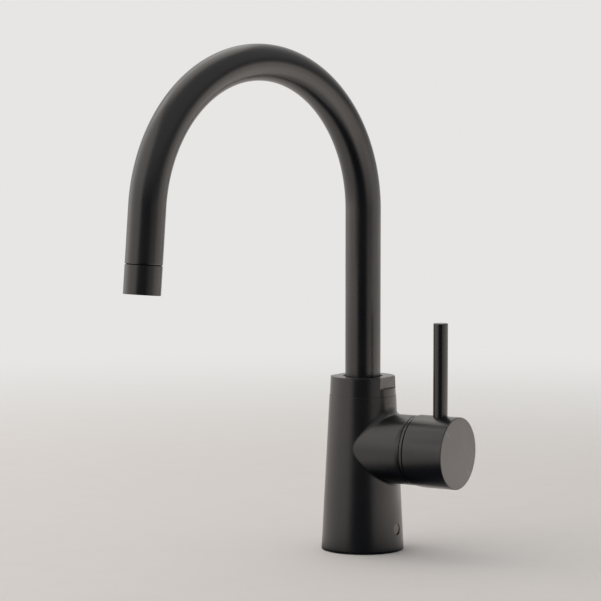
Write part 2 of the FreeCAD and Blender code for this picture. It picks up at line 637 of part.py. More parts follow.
def stem_rotor():
    """Turns in the shell's roof; the stem rocks in its slot about the pivot pin."""
    blank = turned("rotor_blank", [
        ("0", CARRIER_TOP), ("shell_bore / 2 - disc_clearance", CARRIER_TOP),
        ("shell_bore / 2 - disc_clearance", ROTOR_TOP), ("hub_diameter / 2", ROTOR_TOP),
        ("hub_diameter / 2", f"{ROTOR_TOP} + hub_height"), ("0", f"{ROTOR_TOP} + hub_height")])
    slot = block("rotor_slot", ("hub_slot_height", "stem_width + 2 * stem_clearance",
                                "rotor_flange + hub_height"), ("0", "0", CARRIER_TOP))
    hole = cylinder("rotor_pin_hole", "pivot_diameter", "hub_diameter",
                    ("0", "-hub_diameter / 2", PIVOT), "Y")
    node("stem_rotor", cut("slotted_rotor", blank, [slot, hole]), "handle")
    node("pivot_pin", fuse("pivot_pin_shape", [cylinder(
        "pivot_half_left", "pivot_diameter", "pivot_length / 2",
        ("0", "-pivot_length / 2", PIVOT), "Y"), cylinder(
        "pivot_half_right", "pivot_diameter", "pivot_length / 2", ("0", "0", PIVOT), "Y")]),
        "handle")


def valve_stem():
    """Square stem that carries the cap, with a narrower foot below the pivot."""
    foot = f"({PIVOT} - foot_reach)"
    neck = f"({foot} + foot_length)"
    shaft = block("stem_shaft", ("stem_width", "stem_width", f"stem_end - {neck}"),
                  ("0", "0", neck))
    toe = block("stem_foot", ("foot_width", "foot_width", "foot_length"), ("0", "0", foot))
    hole = cylinder("stem_pin_hole", "pivot_diameter + 2 * running_clearance", "stem_width",
                    ("0", "-stem_width / 2", PIVOT), "Y")
    node("valve_stem", cut("bored_stem", fuse("stem_blank", [shaft, toe]), [hole]), "handle")


def cartridge_nut():
    """Ring nut that holds the cartridge down, with spanner slots across its outer end."""
    nut = turned("nut_blank", [
        ("nut_bore / 2", SHELL_TOP), ("nut_diameter / 2", SHELL_TOP),
        ("nut_diameter / 2", "branch_length"), ("nut_neck_diameter / 2", "branch_length"),
        ("nut_neck_diameter / 2", NUT_TOP), ("nut_bore / 2", NUT_TOP)])
    doc.recompute()
    sketch = new_sketch(nut, "spanner_slot", "YZ_Plane")
    half = "nut_slot_width / 2"
    draw_loop(sketch, [(f"-{half}", f"{NUT_TOP} - nut_slot_depth"),
                       (half, f"{NUT_TOP} - nut_slot_depth"), (half, NUT_TOP),
                       (f"-{half}", NUT_TOP)])
    slot = nut.newObject("PartDesign::Pocket", "slot_cut")
    slot.Profile = sketch
    slot.setExpression("Length", bound("nut_diameter / 2"))
    slot.Reversed = True
    slots = nut.newObject("PartDesign::PolarPattern", "slot_pattern")
    slots.Originals = [slot]
    slots.Axis = (plane(nut, "Z_Axis"), [""])
    slots.Angle = 360
    slots.setExpression("Occurrences", bound("nut_slots"))
    nut.Tip = slots
    node("cartridge_nut", nut, "handle")


def cover_ring():
    """Trim ring against the branch's end; its skirt reaches under the cap."""
    bore = "(nut_neck_diameter / 2 + nut_thread_clearance)"
    edge = "branch_diameter / 2"
    node("cover_ring", turned("ring_and_skirt", [
        (bore, "branch_length"), (f"{edge} - seam_chamfer", "branch_length"),
        (edge, "branch_length + seam_chamfer"), (edge, f"{RING_TOP} - seam_chamfer"),
        (f"{edge} - seam_chamfer", RING_TOP), ("skirt_diameter / 2", RING_TOP),
        ("skirt_diameter / 2", f"{RING_TOP} + skirt_length"),
        (bore, f"{RING_TOP} + skirt_length")]), "handle")


# ---------------------------------------------------------------- handle

def cap_shell():
    """Cup open towards the body, its mouth flared so that it swings over the skirt."""
    return turned("cap_shell", [
        ("cap_relief / 2", CAP_START), ("cap_diameter / 2", CAP_START),
        ("cap_diameter / 2", f"{CAP_END} - cap_edge"), ("cap_diameter / 2 - cap_edge", CAP_END),
        ("0", CAP_END), ("0", CAP_FLOOR), ("cap_bore / 2", CAP_FLOOR),
        ("cap_bore / 2", f"{CAP_START} + cap_relief_depth")])


def bevel_tool():
    """Prism that takes off the mouth's lower edge, clear of the branch when the lever tilts."""
    body = doc.addObject("PartDesign::Body", "bevel")
    sketch = new_sketch(body, "bevel_section", "XZ_Plane")
    rim = "cap_diameter / 2"
    draw_loop(sketch, [(f"{rim} - bevel_depth", CAP_START),
                       (f"{rim} + bevel_depth", CAP_START),
                       (f"{rim} + bevel_depth", f"{CAP_START} + bevel_length"),
                       (rim, f"{CAP_START} + bevel_length")])
    pad = body.newObject("PartDesign::Pad", "bevel_pad")
    pad.Profile = sketch
    pad.setExpression("Length", bound("cap_diameter"))
    pad.Midplane = True
    return body


def handle_cap():
    stem_boss = cylinder("stem_boss", "stem_boss_diameter", "stem_boss_length",
                         ("0", "0", "stem_boss_start"))
    wall = "(cap_bore + cap_diameter) / 4"
    pin_boss = cylinder("pin_boss", "pin_boss_diameter", wall,
                        (f"-{wall}", "0", "pin_distance"), "X")
    screw_boss = cylinder("screw_boss", "lever_screw_boss", wall,
                          ("0", "0", "lever_screw_distance"), "X")
    square = "stem_width + 2 * stem_clearance"
    stem_hole = block("stem_hole", (square, square, "stem_end - stem_boss_start"),
                      ("0", "0", "stem_boss_start"))
    seat = "(cap_diameter / 2 - pin_sink)"
    tools = [
        stem_hole, bevel_tool(),
        cylinder("pin_seat", "pin_diameter + 2 * stem_clearance", "2 * pin_sink",
                 (f"-{seat} - 2 * pin_sink", "0", "pin_distance"), "X"),
        cylinder("pin_thread", "pin_spigot_diameter", "pin_spigot_length",
                 (f"-{seat}", "0", "pin_distance"), "X"),
        cylinder("screw_thread", "screw_diameter", "cap_diameter / 2",
                 ("stem_width / 2", "0", "lever_screw_distance"), "X")]
    blank = fuse("cap_blank", [cap_shell(), stem_boss, pin_boss, screw_boss])
    node("handle_cap", cut("machined_cap", blank, tools), "handle")


def lever_pin():
    """Plain round lever, screwed into the cap's top by a thinner spigot."""
    seat = "(handle_height + cap_diameter / 2 - pin_sink)"
    pin = turned("pin_blank", [
        ("0", f"{seat} - pin_spigot_length"),
        ("pin_spigot_diameter / 2", f"{seat} - pin_spigot_length"),
        ("pin_spigot_diameter / 2", seat), ("pin_diameter / 2", seat),
        ("pin_diameter / 2", "pin_top - pin_edge"),
        ("pin_diameter / 2 - pin_edge", "pin_top"), ("0", "pin_top")])
    pin.Label = "lever_pin"
    pin.setExpression("Placement", bound(FRAMES["column"].replace(
        "vector(0;", "vector(pin_distance;")))
    nodes.append(pin)


def lever_screw():
    spot = ("stem_width / 2", "0", "lever_screw_distance")
    blank = cylinder("lever_screw_blank", "screw_diameter", "lever_screw_length", spot, "X")
    key = hex_key("lever_screw_key", "screw_key", "lever_screw_length / 2",
                  ("(stem_width + lever_screw_length) / 2", "0", "lever_screw_distance"), "X")
    node("lever_grub_screw", cut("keyed_lever_screw", blank, [key]), "handle")


# ---------------------------------------------------------------- build and write

def build():
    make_sheet()
    for make in (faucet_body, base_insert, base_seal, base_screw, base_plug, spout_collar,
                 slide_rings, spout_root, spout_seals, spout_tube, tip_insert, aerator_ring,
                 aerator_core, aerator_trim, cartridge_base, port_seals, ceramic_discs,
                 disc_carrier, cartridge_shell, stem_rotor, valve_stem, cartridge_nut,
                 cover_ring, handle_cap, lever_pin, lever_screw):
        make()
    doc.recompute()


def check():
    """Stops if any feature failed or a piece isn't a sound solid."""
    for item in doc.Objects:
        if {"Invalid", "Error"} & set(item.State):
            raise RuntimeError(f"{item.Name} failed: {item.State}")
    for piece in nodes:
        if piece.Shape.isNull() or not piece.Shape.isValid() or not piece.Shape.Solids:
            raise RuntimeError(f"{piece.Label} is not a valid solid")


def write():
    os.makedirs("parts", exist_ok=True)
    for piece in nodes:
        piece.Shape.exportStep(f"parts/{piece.Label}.step")
        print(f"{piece.Label}: {len(piece.Shape.Solids)} solid, {piece.Shape.Volume:.1f} mm3")


build()
check()
write()
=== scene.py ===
import json
import math

import bmesh
import bpy
from mathutils import Matrix, Vector


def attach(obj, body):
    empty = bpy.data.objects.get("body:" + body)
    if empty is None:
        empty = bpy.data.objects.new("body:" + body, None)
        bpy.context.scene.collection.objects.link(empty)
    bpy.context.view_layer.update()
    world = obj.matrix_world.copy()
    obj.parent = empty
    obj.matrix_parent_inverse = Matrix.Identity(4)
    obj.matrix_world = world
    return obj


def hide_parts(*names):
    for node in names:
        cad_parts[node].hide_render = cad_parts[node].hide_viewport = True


# A matte black gooseneck bar faucet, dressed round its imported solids. Metres, +Z up. The handle's
# branch points along +X, and the user stands on the -Y side.

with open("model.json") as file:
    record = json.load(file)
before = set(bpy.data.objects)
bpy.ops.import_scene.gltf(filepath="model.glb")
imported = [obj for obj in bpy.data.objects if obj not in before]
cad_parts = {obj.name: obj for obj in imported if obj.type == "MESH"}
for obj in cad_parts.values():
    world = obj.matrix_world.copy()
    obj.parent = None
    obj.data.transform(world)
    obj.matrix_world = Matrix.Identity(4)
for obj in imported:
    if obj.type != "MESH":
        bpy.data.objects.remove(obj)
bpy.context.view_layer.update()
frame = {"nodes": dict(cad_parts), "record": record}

# -------- sizes, in metres

AROUND, HANDLE_FACETS, SMALL_FACETS, ROD_FACETS = 160, 192, 96, 64    # facets round a piece
EDGE = 0.00035                     # the usual broken edge
END_EDGE, COLLAR_EDGE, FINE_EDGE = 0.0004, 0.0003, 0.00015
SEAM_EDGE = 0.00008                # where two pieces meet almost flush
ARC_INSET = 0.29                   # how far in a round edge's middle lies, as a share of the edge
GROOVE_WIDTH, GROOVE_DEPTH = 0.00045, 0.0007
COINCIDENT = 1e-7                  # points nearer than this are one

BASE_RADIUS, CONE_SLOPE = 0.02575, 0.0510309
BODY_HEIGHT, BASE_ROUND = 0.097, 0.0006
NECK_RADIUS, NECK_TOP = 0.016, 0.103
HANDLE_HEIGHT, BRANCH_RADIUS, BRANCH_END = 0.0645, 0.0216, 0.038
BLEND_TOP, BLEND_BOTTOM = 0.0045, 0.0018
PLUG_HEIGHT, PLUG_FLOOR, PLUG_FACE, PLUG_RADIUS = 0.014, 0.022646, 0.024620, 0.0035
PLUG_GAP, PLUG_DOME = 0.00005, 0.00015
CAVITY_RADIUS, CAVITY_TOP = 0.019, 0.034
FLANGE_RADIUS, FLANGE_THICKNESS = 0.0215, 0.005
SEAL_RADIUS, SEAL_THICKNESS = 0.0237, 0.002
SEAL_RIB = 0.00025
INSERT_BORE, INSERT_TOP, STUD_OFFSET, STUD_RADIUS = 0.012, 0.022, 0.0155, 0.0025
SCREW_TIP, SCREW_RADIUS = 0.0169, 0.0025
HOSE_SETBACK, HOSE_SPREAD, HOSE_RADIUS, HOSE_TOP = -0.001, 0.007, 0.0045, 0.046
PORT_RADIUS, PORT_RISE = 0.003, 0.006
THREAD_PITCH, THREAD_DEPTH = 0.001, 0.0005
CARTRIDGE_SEAT, CARTRIDGE_RADIUS, NUT_SEAT, NUT_RADIUS = 0.0085, 0.01775, 0.03065, 0.0185
SOCKET_FLOOR, SOCKET_RADIUS = 0.087, 0.0115

COLLAR_FOOT, COLLAR_HEAD, COLLAR_TOP = 0.0206, 0.02005, 0.10885
COLLAR_THREAD, COLLAR_ROOF, COLLAR_OPENING = 0.0161, 0.00185, 0.0123
FLAT_OFFSET, FLAT_HEIGHT = 0.018, 0.0072
RING_FOOT, RING_RADIUS, RING_STEP, LIP_RADIUS, LIP_TOP = 0.106, 0.0155, 0.107, 0.0121, 0.1085
RING_BORE = 0.01105

TUBE_RADIUS, TUBE_BORE, BEND_START, BEND_RADIUS = 0.011, 0.0098, 0.2122, 0.0907
BEND_ANGLE, LEG, HEADING = math.radians(175.03), 0.051, math.radians(-102.1)
AERATOR_LENGTH, AERATOR_LIP, AERATOR_LIP_BORE = 0.0175, 0.0012, 0.0089
AERATOR_BORE, AERATOR_THREAD, CORE_TOP = 0.0093, 0.0096, 0.0096
CORE_RADIUS, SCREEN_RADIUS, SCREEN_LEDGE, JET_PLATE = 0.00925, 0.0084, 0.0008, 0.0052
JET_RADIUS, JET_CIRCLES = 0.0008, ((6, 0.0045), (12, 0.0074))

# COVER_END and CAP_START are each moved 0.1 mm apart from where the solids have them, and PLUG_FACE
# 0.22 mm outwards, so that the seams and the plug read as they do on the real one.
COVER_BORE, COVER_END, SKIRT_RADIUS, SKIRT_END = 0.0176, 0.0401, 0.0193, 0.0438
CAP_START, CAP_END, CAP_FLOOR, CAP_RADIUS, CAP_BORE = 0.0412, 0.06815, 0.064, 0.0223, 0.0199
CAP_RELIEF, RELIEF_DEPTH = 0.0214, 0.0039
BEVEL_LENGTH, BEVEL_DEPTH = 0.0084, 0.00276
STEM_BOSS, STEM_HOLE, STEM_START, STEM_END = 0.0075, 0.0081, 0.047, 0.061
PIN_DISTANCE, PIN_RADIUS, PIN_TOP, PIN_SEAT = 0.0555, 0.0045, 0.144, 0.0190
PIN_SPIGOT, PIN_SPIGOT_LENGTH, PIN_BOSS, PIN_FIT = 0.003, 0.0075, 0.0065, 0.00005
SCREW_DISTANCE, SCREW_BOSS = 0.0585, 0.005

HANDLE = Matrix.Translation((0, 0, HANDLE_HEIGHT)) @ Matrix.Rotation(math.pi / 2, 4, "Y")
PLUG_LINE = Matrix.Translation((0, 0, PLUG_HEIGHT - HANDLE_HEIGHT)) @ HANDLE
SPOUT = Matrix.Rotation(HEADING, 4, "Z")
TIP_REACH = BEND_RADIUS * (1 - math.cos(BEND_ANGLE)) + LEG * math.sin(BEND_ANGLE)
TIP_HEIGHT = BEND_START + BEND_RADIUS * math.sin(BEND_ANGLE) + LEG * math.cos(BEND_ANGLE)
TIP = (SPOUT @ Matrix.Translation((TIP_REACH, 0, TIP_HEIGHT))
       @ Matrix.Rotation(BEND_ANGLE - math.pi, 4, "Y"))


# -------- node trees

def add_node(tree, kind, settings=None, **inputs):
    """A node with its settings, and its inputs by name: a socket is linked, a value is set."""
    item = tree.nodes.new(kind)
    for key, value in (settings or {}).items():
        setattr(item, key, value)
    connect_all(tree, item.inputs, **inputs)
    return item


def connect(tree, socket, value):
    if isinstance(value, bpy.types.NodeSocket):
        tree.links.new(value, socket)
    else:
        socket.default_value = value


def connect_all(tree, sockets, **values):
    for name, value in values.items():
        connect(tree, sockets[name.replace("_", " ")], value)


def calculate(tree, operation, *values, clamp=False):
    """A Math node's result."""
    item = add_node(tree, "ShaderNodeMath", {"operation": operation, "use_clamp": clamp})
    for socket, value in zip(item.inputs, values):
        connect(tree, socket, value)
    return item.outputs[0]


def spread(tree, value, low, high, to_low=0.0, to_high=1.0):
    """A smooth step of value from low..high to to_low..to_high."""
    return add_node(tree, "ShaderNodeMapRange", {"interpolation_type": "SMOOTHSTEP"}, Value=value,
                    From_Min=low, From_Max=high, To_Min=to_low, To_Max=to_high).outputs[0]


def seeded_noise(tree, place, seed, **inputs):
    return add_node(tree, "ShaderNodeTexNoise", {"noise_dimensions": "4D"}, W=seed, Vector=place,
                    **inputs).outputs[0]


def group_tree(name, inputs, outputs, kind="ShaderNodeTree"):
    """An empty node group with named sockets; returns it with its input and output nodes."""
    tree = bpy.data.node_groups.new(name, kind)
    for way, sockets in (("INPUT", inputs), ("OUTPUT", outputs)):
        for label, (socket_kind, default) in sockets.items():
            socket = tree.interface.new_socket(label, in_out=way,
                                               socket_type="NodeSocket" + socket_kind)
            if default is not None:
                socket.default_value = default
    return tree, tree.nodes.new("NodeGroupInput").outputs, tree.nodes.new("NodeGroupOutput").inputs


# -------- shared surface effects

def pebble_group():
    """The coating's own surface: fine round pebbles on a long soft swell."""
    tree, given, result = group_tree(
        "coating_pebble", {"Place": ("Vector", None), "Pebbles per Metre": ("Float", 1500.0),
                           "Swell": ("Float", 0.5), "Seed": ("Float", 0.0)},
        {"Height": ("Float", None), "Specks": ("Float", None)})
    cells = add_node(tree, "ShaderNodeTexVoronoi", {"feature": "SMOOTH_F1"},
                     Vector=given["Place"], Scale=given["Pebbles per Metre"], Smoothness=0.6)
    grit_per_pebble, grit_height = 2.3, 0.5
    grit = seeded_noise(tree, given["Place"], given["Seed"], Detail=3.0, Scale=calculate(
        tree, "MULTIPLY", given["Pebbles per Metre"], grit_per_pebble))
    swell = seeded_noise(tree, given["Place"], given["Seed"], Scale=170.0, Detail=2.0)
    pebbles = calculate(tree, "SUBTRACT", 1.0, cells.outputs["Distance"])
    fine = calculate(tree, "MULTIPLY_ADD", grit, grit_height, pebbles)
    tree.links.new(calculate(tree, "MULTIPLY_ADD", swell, given["Swell"], fine),
                   result["Height"])
    tree.links.new(spread(tree, grit, 0.56, 0.74), result["Specks"])
    return tree


def smudge_group():
    """Where a surface has been handled and wiped: broad soft patches and faint wiping lines."""
    tree, given, result = group_tree(
        "handling_smudges", {"Place": ("Vector", None), "Patch per Metre": ("Float", 45.0),
                             "Wipe": ("Float", 0.3), "Seed": ("Float", 0.0)},
        {"Smudge": ("Float", None)})
    patch = seeded_noise(tree, given["Place"], given["Seed"], Scale=given["Patch per Metre"],
                         Detail=4.0, Roughness=0.55, Distortion=0.4)
    stretched = add_node(tree, "ShaderNodeMapping", None, Vector=given["Place"],
                         Rotation=(0.3, 0.5, 0.2), Scale=(900.0, 900.0, 60.0))
    wipe = seeded_noise(tree, stretched.outputs[0], given["Seed"], Scale=1.0, Detail=2.0)
    lines = calculate(tree, "MULTIPLY", spread(tree, wipe, 0.55, 0.75), given["Wipe"])
    broad = spread(tree, patch, 0.38, 0.66)
    tree.links.new(calculate(tree, "ADD", broad, lines, clamp=True), result["Smudge"])
    return tree


def rubbed_edge_group():
    """The thin line where a proud edge is rubbed smooth, broken up a little."""
    tree, given, result = group_tree(
        "rubbed_edges", {"Place": ("Vector", None), "Start": ("Float", 0.54),
                         "Full": ("Float", 0.64), "Seed": ("Float", 0.0)},
        {"Rubbed": ("Float", None)})
    pointed = add_node(tree, "ShaderNodeNewGeometry").outputs["Pointiness"]
    edge = spread(tree, pointed, given["Start"], given["Full"])
    breakup = seeded_noise(tree, given["Place"], given["Seed"], Scale=260.0, Detail=3.0)
    tree.links.new(calculate(tree, "MULTIPLY", edge, spread(
        tree, breakup, 0.3, 0.65, 0.35, 1.0)), result["Rubbed"])
    return tree


def tool_mark_group():
    """Fine rings left by turning about local Z, from the distance to it and the height."""
    tree, given, result = group_tree(
        "turning_marks", {"Place": ("Vector", None), "Feed per Metre": ("Float", 5000.0)},
        {"Height": ("Float", None), "Tone": ("Float", None)})
    parts = add_node(tree, "ShaderNodeSeparateXYZ", None, Vector=given["Place"]).outputs
    away = calculate(tree, "SQRT", calculate(
        tree, "ADD", calculate(tree, "POWER", parts[0], 2.0),
        calculate(tree, "POWER", parts[1], 2.0)))
    run = calculate(tree, "MULTIPLY", calculate(tree, "ADD", away, parts[2]),
                    given["Feed per Metre"])
    for label, scale, detail in (("Height", 1.0, 2.0), ("Tone", 0.12, 1.0)):
        rings = add_node(tree, "ShaderNodeTexNoise", {"noise_dimensions": "1D"}, W=run,
                         Scale=scale, Detail=detail)
        tree.links.new(rings.outputs[0], result[label])
    return tree


PEBBLE, SMUDGE, RUBBED, TOOL_MARKS = (pebble_group(), smudge_group(), rubbed_edge_group(),
                                      tool_mark_group())


# -------- finishes

def new_finish(name):
    """A material with its tree, its object coordinates and its shader."""
    material = bpy.data.materials.new(name)
    material.use_nodes = True
    tree = material.node_tree
    place = add_node(tree, "ShaderNodeTexCoord").outputs["Object"]
    return material, tree, place, tree.nodes["Principled BSDF"]


def place_group(tree, group, **inputs):
    return add_node(tree, "ShaderNodeGroup", {"node_tree": group}, **inputs)


def blend_colours(tree, amount, dark, light):
    mix = add_node(tree, "ShaderNodeMix", {"data_type": "RGBA"})
    connect(tree, mix.inputs[0], amount)
    for socket, colour in zip((mix.inputs[6], mix.inputs[7]), (dark, light)):
        connect(tree, socket, colour)
    return mix.outputs[2]


def bump(tree, height, depth, strength=1.0):
    return add_node(tree, "ShaderNodeBump", None, Height=height, Distance=depth,
                    Strength=strength).outputs[0]


COAT_DARK = (0.0020, 0.0021, 0.0025, 1.0)
COAT_LIGHT = (0.0032, 0.0032, 0.0035, 1.0)
COAT_SPECK = (0.0080, 0.0075, 0.0072, 1.0)
COAT_RUBBED = (0.024, 0.022, 0.020, 1.0)
COAT_SPECULAR, SPECK_SHARE, RUBBED_SHARE = 0.75, 0.35, 0.5
HANDLED_GLOSS, SPECK_GRAIN, RUBBED_GLOSS = -0.03, 0.06, -0.1    # what each adds to roughness


def black_coating(name, seed, pebbles, depth, swell, roughness):
    """Matte warm black coating over metal: pebbled, a little uneven, rubbed at its edges."""
    material, tree, place, shader = new_finish(name)
    pebble = place_group(tree, PEBBLE, Place=place, Pebbles_per_Metre=pebbles, Swell=swell,
                         Seed=seed)
    smudge = place_group(tree, SMUDGE, Place=place, Seed=seed + 3.0).outputs[0]
    rubbed = place_group(tree, RUBBED, Place=place, Seed=seed + 7.0).outputs[0]
    mottle = seeded_noise(tree, place, seed, Scale=28.0, Detail=5.0)
    coat = blend_colours(tree, spread(tree, mottle, 0.35, 0.7), COAT_DARK, COAT_LIGHT)
    speckled = blend_colours(tree, calculate(
        tree, "MULTIPLY", pebble.outputs["Specks"], SPECK_SHARE), coat, COAT_SPECK)
    worn = blend_colours(tree, calculate(tree, "MULTIPLY", rubbed, RUBBED_SHARE), speckled,
                         COAT_RUBBED)
    uneven = calculate(tree, "MULTIPLY_ADD", smudge, HANDLED_GLOSS, roughness)
    grainy = calculate(tree, "MULTIPLY_ADD", pebble.outputs["Specks"], SPECK_GRAIN, uneven)
    connect_all(tree, shader.inputs, Base_Color=worn, Specular_IOR_Level=COAT_SPECULAR,
                Roughness=calculate(tree, "MULTIPLY_ADD", rubbed, RUBBED_GLOSS, grainy),
                Normal=bump(tree, pebble.outputs["Height"], depth))
    return material


def turned_metal(name, colour, tarnish, roughness, along=(0, 0, 0), centre=(0, 0, 0)):
    """Bare turned metal with tool marks and a patchy film; along turns local Z to its axis."""
    film_share, rubbed_share, brighter, ring_gloss, film_gloss = 0.5, 0.6, 1.25, 0.14, 0.1
    material, tree, place, shader = new_finish(name)
    turned_place = add_node(tree, "ShaderNodeMapping", {"vector_type": "TEXTURE"}, Vector=place,
                            Location=centre, Rotation=along).outputs[0]
    marks = place_group(tree, TOOL_MARKS, Place=turned_place)
    film = place_group(tree, SMUDGE, Place=place, Patch_per_Metre=120.0, Seed=11.0).outputs[0]
    rubbed = place_group(tree, RUBBED, Place=place, Seed=2.0).outputs[0]
    tone = blend_colours(tree, calculate(tree, "MULTIPLY", film, film_share), colour, tarnish)
    bright = blend_colours(tree, calculate(tree, "MULTIPLY", rubbed, rubbed_share), tone,
                           [min(1.0, brighter * c) for c in colour[:3]] + [1.0])
    ringed = calculate(tree, "MULTIPLY_ADD", marks.outputs["Tone"], ring_gloss,
                       roughness - ring_gloss / 2)
    connect_all(tree, shader.inputs, Base_Color=bright, Metallic=1.0,
                Roughness=calculate(tree, "MULTIPLY_ADD", film, film_gloss, ringed),
                Normal=bump(tree, marks.outputs["Height"], MARK_DEPTH))
    return material


def moulded(name, colour, second, roughness, grain, depth, specular=0.5):
    """Moulded rubber, plastic or fired ceramic: faint grain, flow patches and rubbed corners."""
    rubbed_share, flow_gloss = 0.12, 0.12
    material, tree, place, shader = new_finish(name)
    pebble = place_group(tree, PEBBLE, Place=place, Pebbles_per_Metre=grain, Swell=0.8, Seed=5.0)
    flow = add_node(tree, "ShaderNodeTexNoise", None, Vector=place, Scale=90.0, Detail=4.0,
                    Distortion=1.2).outputs[0]
    rubbed = place_group(tree, RUBBED, Place=place, Seed=9.0).outputs[0]
    tone = blend_colours(tree, spread(tree, flow, 0.3, 0.7), colour, second)
    light = [(1.0 + c) / 2 for c in colour[:3]] + [1.0]
    connect_all(tree, shader.inputs, Specular_IOR_Level=specular,
                Base_Color=blend_colours(
                    tree, calculate(tree, "MULTIPLY", rubbed, rubbed_share), tone, light),
                Roughness=calculate(
                    tree, "MULTIPLY_ADD", flow, flow_gloss, roughness - flow_gloss / 2),
                Normal=bump(tree, pebble.outputs["Height"], depth))
    return material


MARK_DEPTH = 0.000006
GRAIN_DEPTH, GRAIN = 0.00001, 1800.0
BRASS, BRASS_FILM = (0.78, 0.57, 0.27, 1.0), (0.55, 0.38, 0.17, 1.0)
STEEL, STEEL_FILM = (0.60, 0.59, 0.57, 1.0), (0.42, 0.41, 0.40, 1.0)
ALONG_BRANCH = (0.0, math.pi / 2, 0.0)
BRANCH_AXIS = (0.0, 0.0, HANDLE_HEIGHT)

FINISHES = {
    "black_casting": black_coating("black_casting_coat", 1.0, 1500.0, 0.000009, 0.8, 0.32),
    "black_tube": black_coating("black_tube_coat", 4.0, 1900.0, 0.000007, 0.6, 0.30),
    "black_trim": black_coating("black_trim_coat", 8.0, 2100.0, 0.000007, 0.5, 0.30),
    "brass": turned_metal("turned_brass", BRASS, BRASS_FILM, 0.34),
    "steel": turned_metal("bright_steel", STEEL, STEEL_FILM, 0.30),
    "rubber": moulded("seal_rubber", (0.017, 0.017, 0.018, 1.0), (0.026, 0.026, 0.027, 1.0),
                      0.72, 1400.0, 0.00002),
    # Near black, darker than grey acetal: partly the plastic's own dark tone, partly painted shade,
    # so that the slide ring's lip reads as the shadow line in the collar's gap.
    "grey_plastic": moulded("dark_acetal", (0.008, 0.008, 0.009, 1.0),
                            (0.012, 0.012, 0.013, 1.0), 0.60, GRAIN, GRAIN_DEPTH),
    "white_plastic": moulded("white_acetal", (0.72, 0.71, 0.68, 1.0), (0.66, 0.65, 0.62, 1.0),
                             0.45, GRAIN, GRAIN_DEPTH),
    "ceramic": moulded("fired_ceramic", (0.78, 0.76, 0.71, 1.0), (0.72, 0.70, 0.66, 1.0),
                       0.22, 3000.0, 0.000004),
}
# Near black and nearly unreflecting: painted shade for the floors of grooves and gaps.
GROOVE_PAINTED_SHADE = moulded("groove_black", (0.0008, 0.0008, 0.0009, 1.0),
                       (0.0012, 0.0012, 0.0012, 1.0), 0.90, GRAIN, GRAIN_DEPTH, 0.05)
# A dark bare metal for the plug, far lighter than the black coating: partly the plug's own metal,
# partly painted brightness for its bright face.
PLUG_PAINTED_BRIGHT_METAL = turned_metal("dark_plug_metal", (0.14, 0.13, 0.122, 1.0), (0.11, 0.102, 0.096, 1.0),
                          0.30, ALONG_BRANCH, (0.0, 0.0, PLUG_HEIGHT))
BRANCH_BRASS = turned_metal("branch_brass", BRASS, BRASS_FILM, 0.32, ALONG_BRANCH, BRANCH_AXIS)


# -------- making meshes

def softened(corners, steps=4):
    """The section with an arc at each corner that has an edge radius, held flat beside it."""
    hold_to_arc, hold_to_side = 0.4, 0.02
    section = []
    count = len(corners)
    for i, corner in enumerate(corners):
        here = Vector(corner[:2])
        radius = corner[2] if len(corner) > 2 else 0.0
        if radius == 0.0:
            section.append(here)
            continue
        before = Vector(corners[i - 1][:2]) - here
        after = Vector(corners[(i + 1) % count][:2]) - here
        half = before.angle(after) / 2
        reach = radius / math.tan(half)
        hold = min(hold_to_arc * reach, hold_to_side * min(before.length, after.length))
        centre = here + (before.normalized() + after.normalized()).normalized() * (
            radius / math.sin(half))
        first = here + before.normalized() * reach - centre
        last = here + after.normalized() * reach - centre
        section.append(here + before.normalized() * (reach + hold))
        for k in range(steps + 1):
            mixed = first.lerp(last, k / steps).normalized() * radius
            section.append(centre + mixed)
        section.append(here + after.normalized() * (reach + hold))
    return section


def placed(mesh, place):
    """The mesh in its place, with its faces turned outwards."""
    bmesh.ops.recalc_face_normals(mesh, faces=mesh.faces)
    bmesh.ops.transform(mesh, matrix=place, verts=mesh.verts)
    return mesh


def revolve(corners, place=Matrix(), around=AROUND):
    """A mesh turned about local Z from a section of (radius, height, edge radius) corners."""
    section = softened(corners)
    mesh = bmesh.new()
    rings = []
    for radius, height in section:
        if radius < COINCIDENT:
            rings.append([mesh.verts.new((0, 0, height))])
            continue
        rings.append([mesh.verts.new((radius * math.cos(a), radius * math.sin(a), height))
                      for a in (2 * math.pi * k / around for k in range(around))])
    for i, ring in enumerate(rings):
        following = rings[(i + 1) % len(rings)]
        if len(ring) == 1 and len(following) == 1:
            continue
        for k in range(around):
            j = (k + 1) % around
            loop = [ring[k % len(ring)], ring[j % len(ring)],
                    following[j % len(following)], following[k % len(following)]]
            mesh.faces.new(list(dict.fromkeys(loop)))
    return placed(mesh, place)


def rod(radius, low, high, place=Matrix(), around=ROD_FACETS):
    return revolve([(0, low), (radius, low), (radius, high), (0, high)], place, around)


def threaded_rod(radius, low, high, place=Matrix(), around=ROD_FACETS):
    """A rod with thread crests from low to high, for cutting a threaded hole."""
    crest_end, root_start, root_end = 0.2, 0.55, 0.65    # shares of the pitch
    corners = [(0, low)]
    turns = int((high - low) / THREAD_PITCH)
    for k in range(turns):
        start = low + k * THREAD_PITCH
        corners += [(radius, start), (radius, start + crest_end * THREAD_PITCH),
                    (radius - THREAD_DEPTH, start + root_start * THREAD_PITCH),
                    (radius - THREAD_DEPTH, start + root_end * THREAD_PITCH)]
    return revolve(corners + [(radius, low + turns * THREAD_PITCH), (radius, high), (0, high)],
                   place, around)


def prism(corners, half_width, place=Matrix()):
    """A flat outline in local X and Z, carried half_width each way along local Y."""
    mesh = bmesh.new()
    sides = [[mesh.verts.new((x, y, z)) for x, z in corners]
             for y in (-half_width, half_width)]
    mesh.faces.new(sides[0])
    mesh.faces.new(list(reversed(sides[1])))
    for i in range(len(corners)):
        j = (i + 1) % len(corners)
        mesh.faces.new((sides[0][i], sides[1][i], sides[1][j], sides[0][j]))
    return placed(mesh, place)


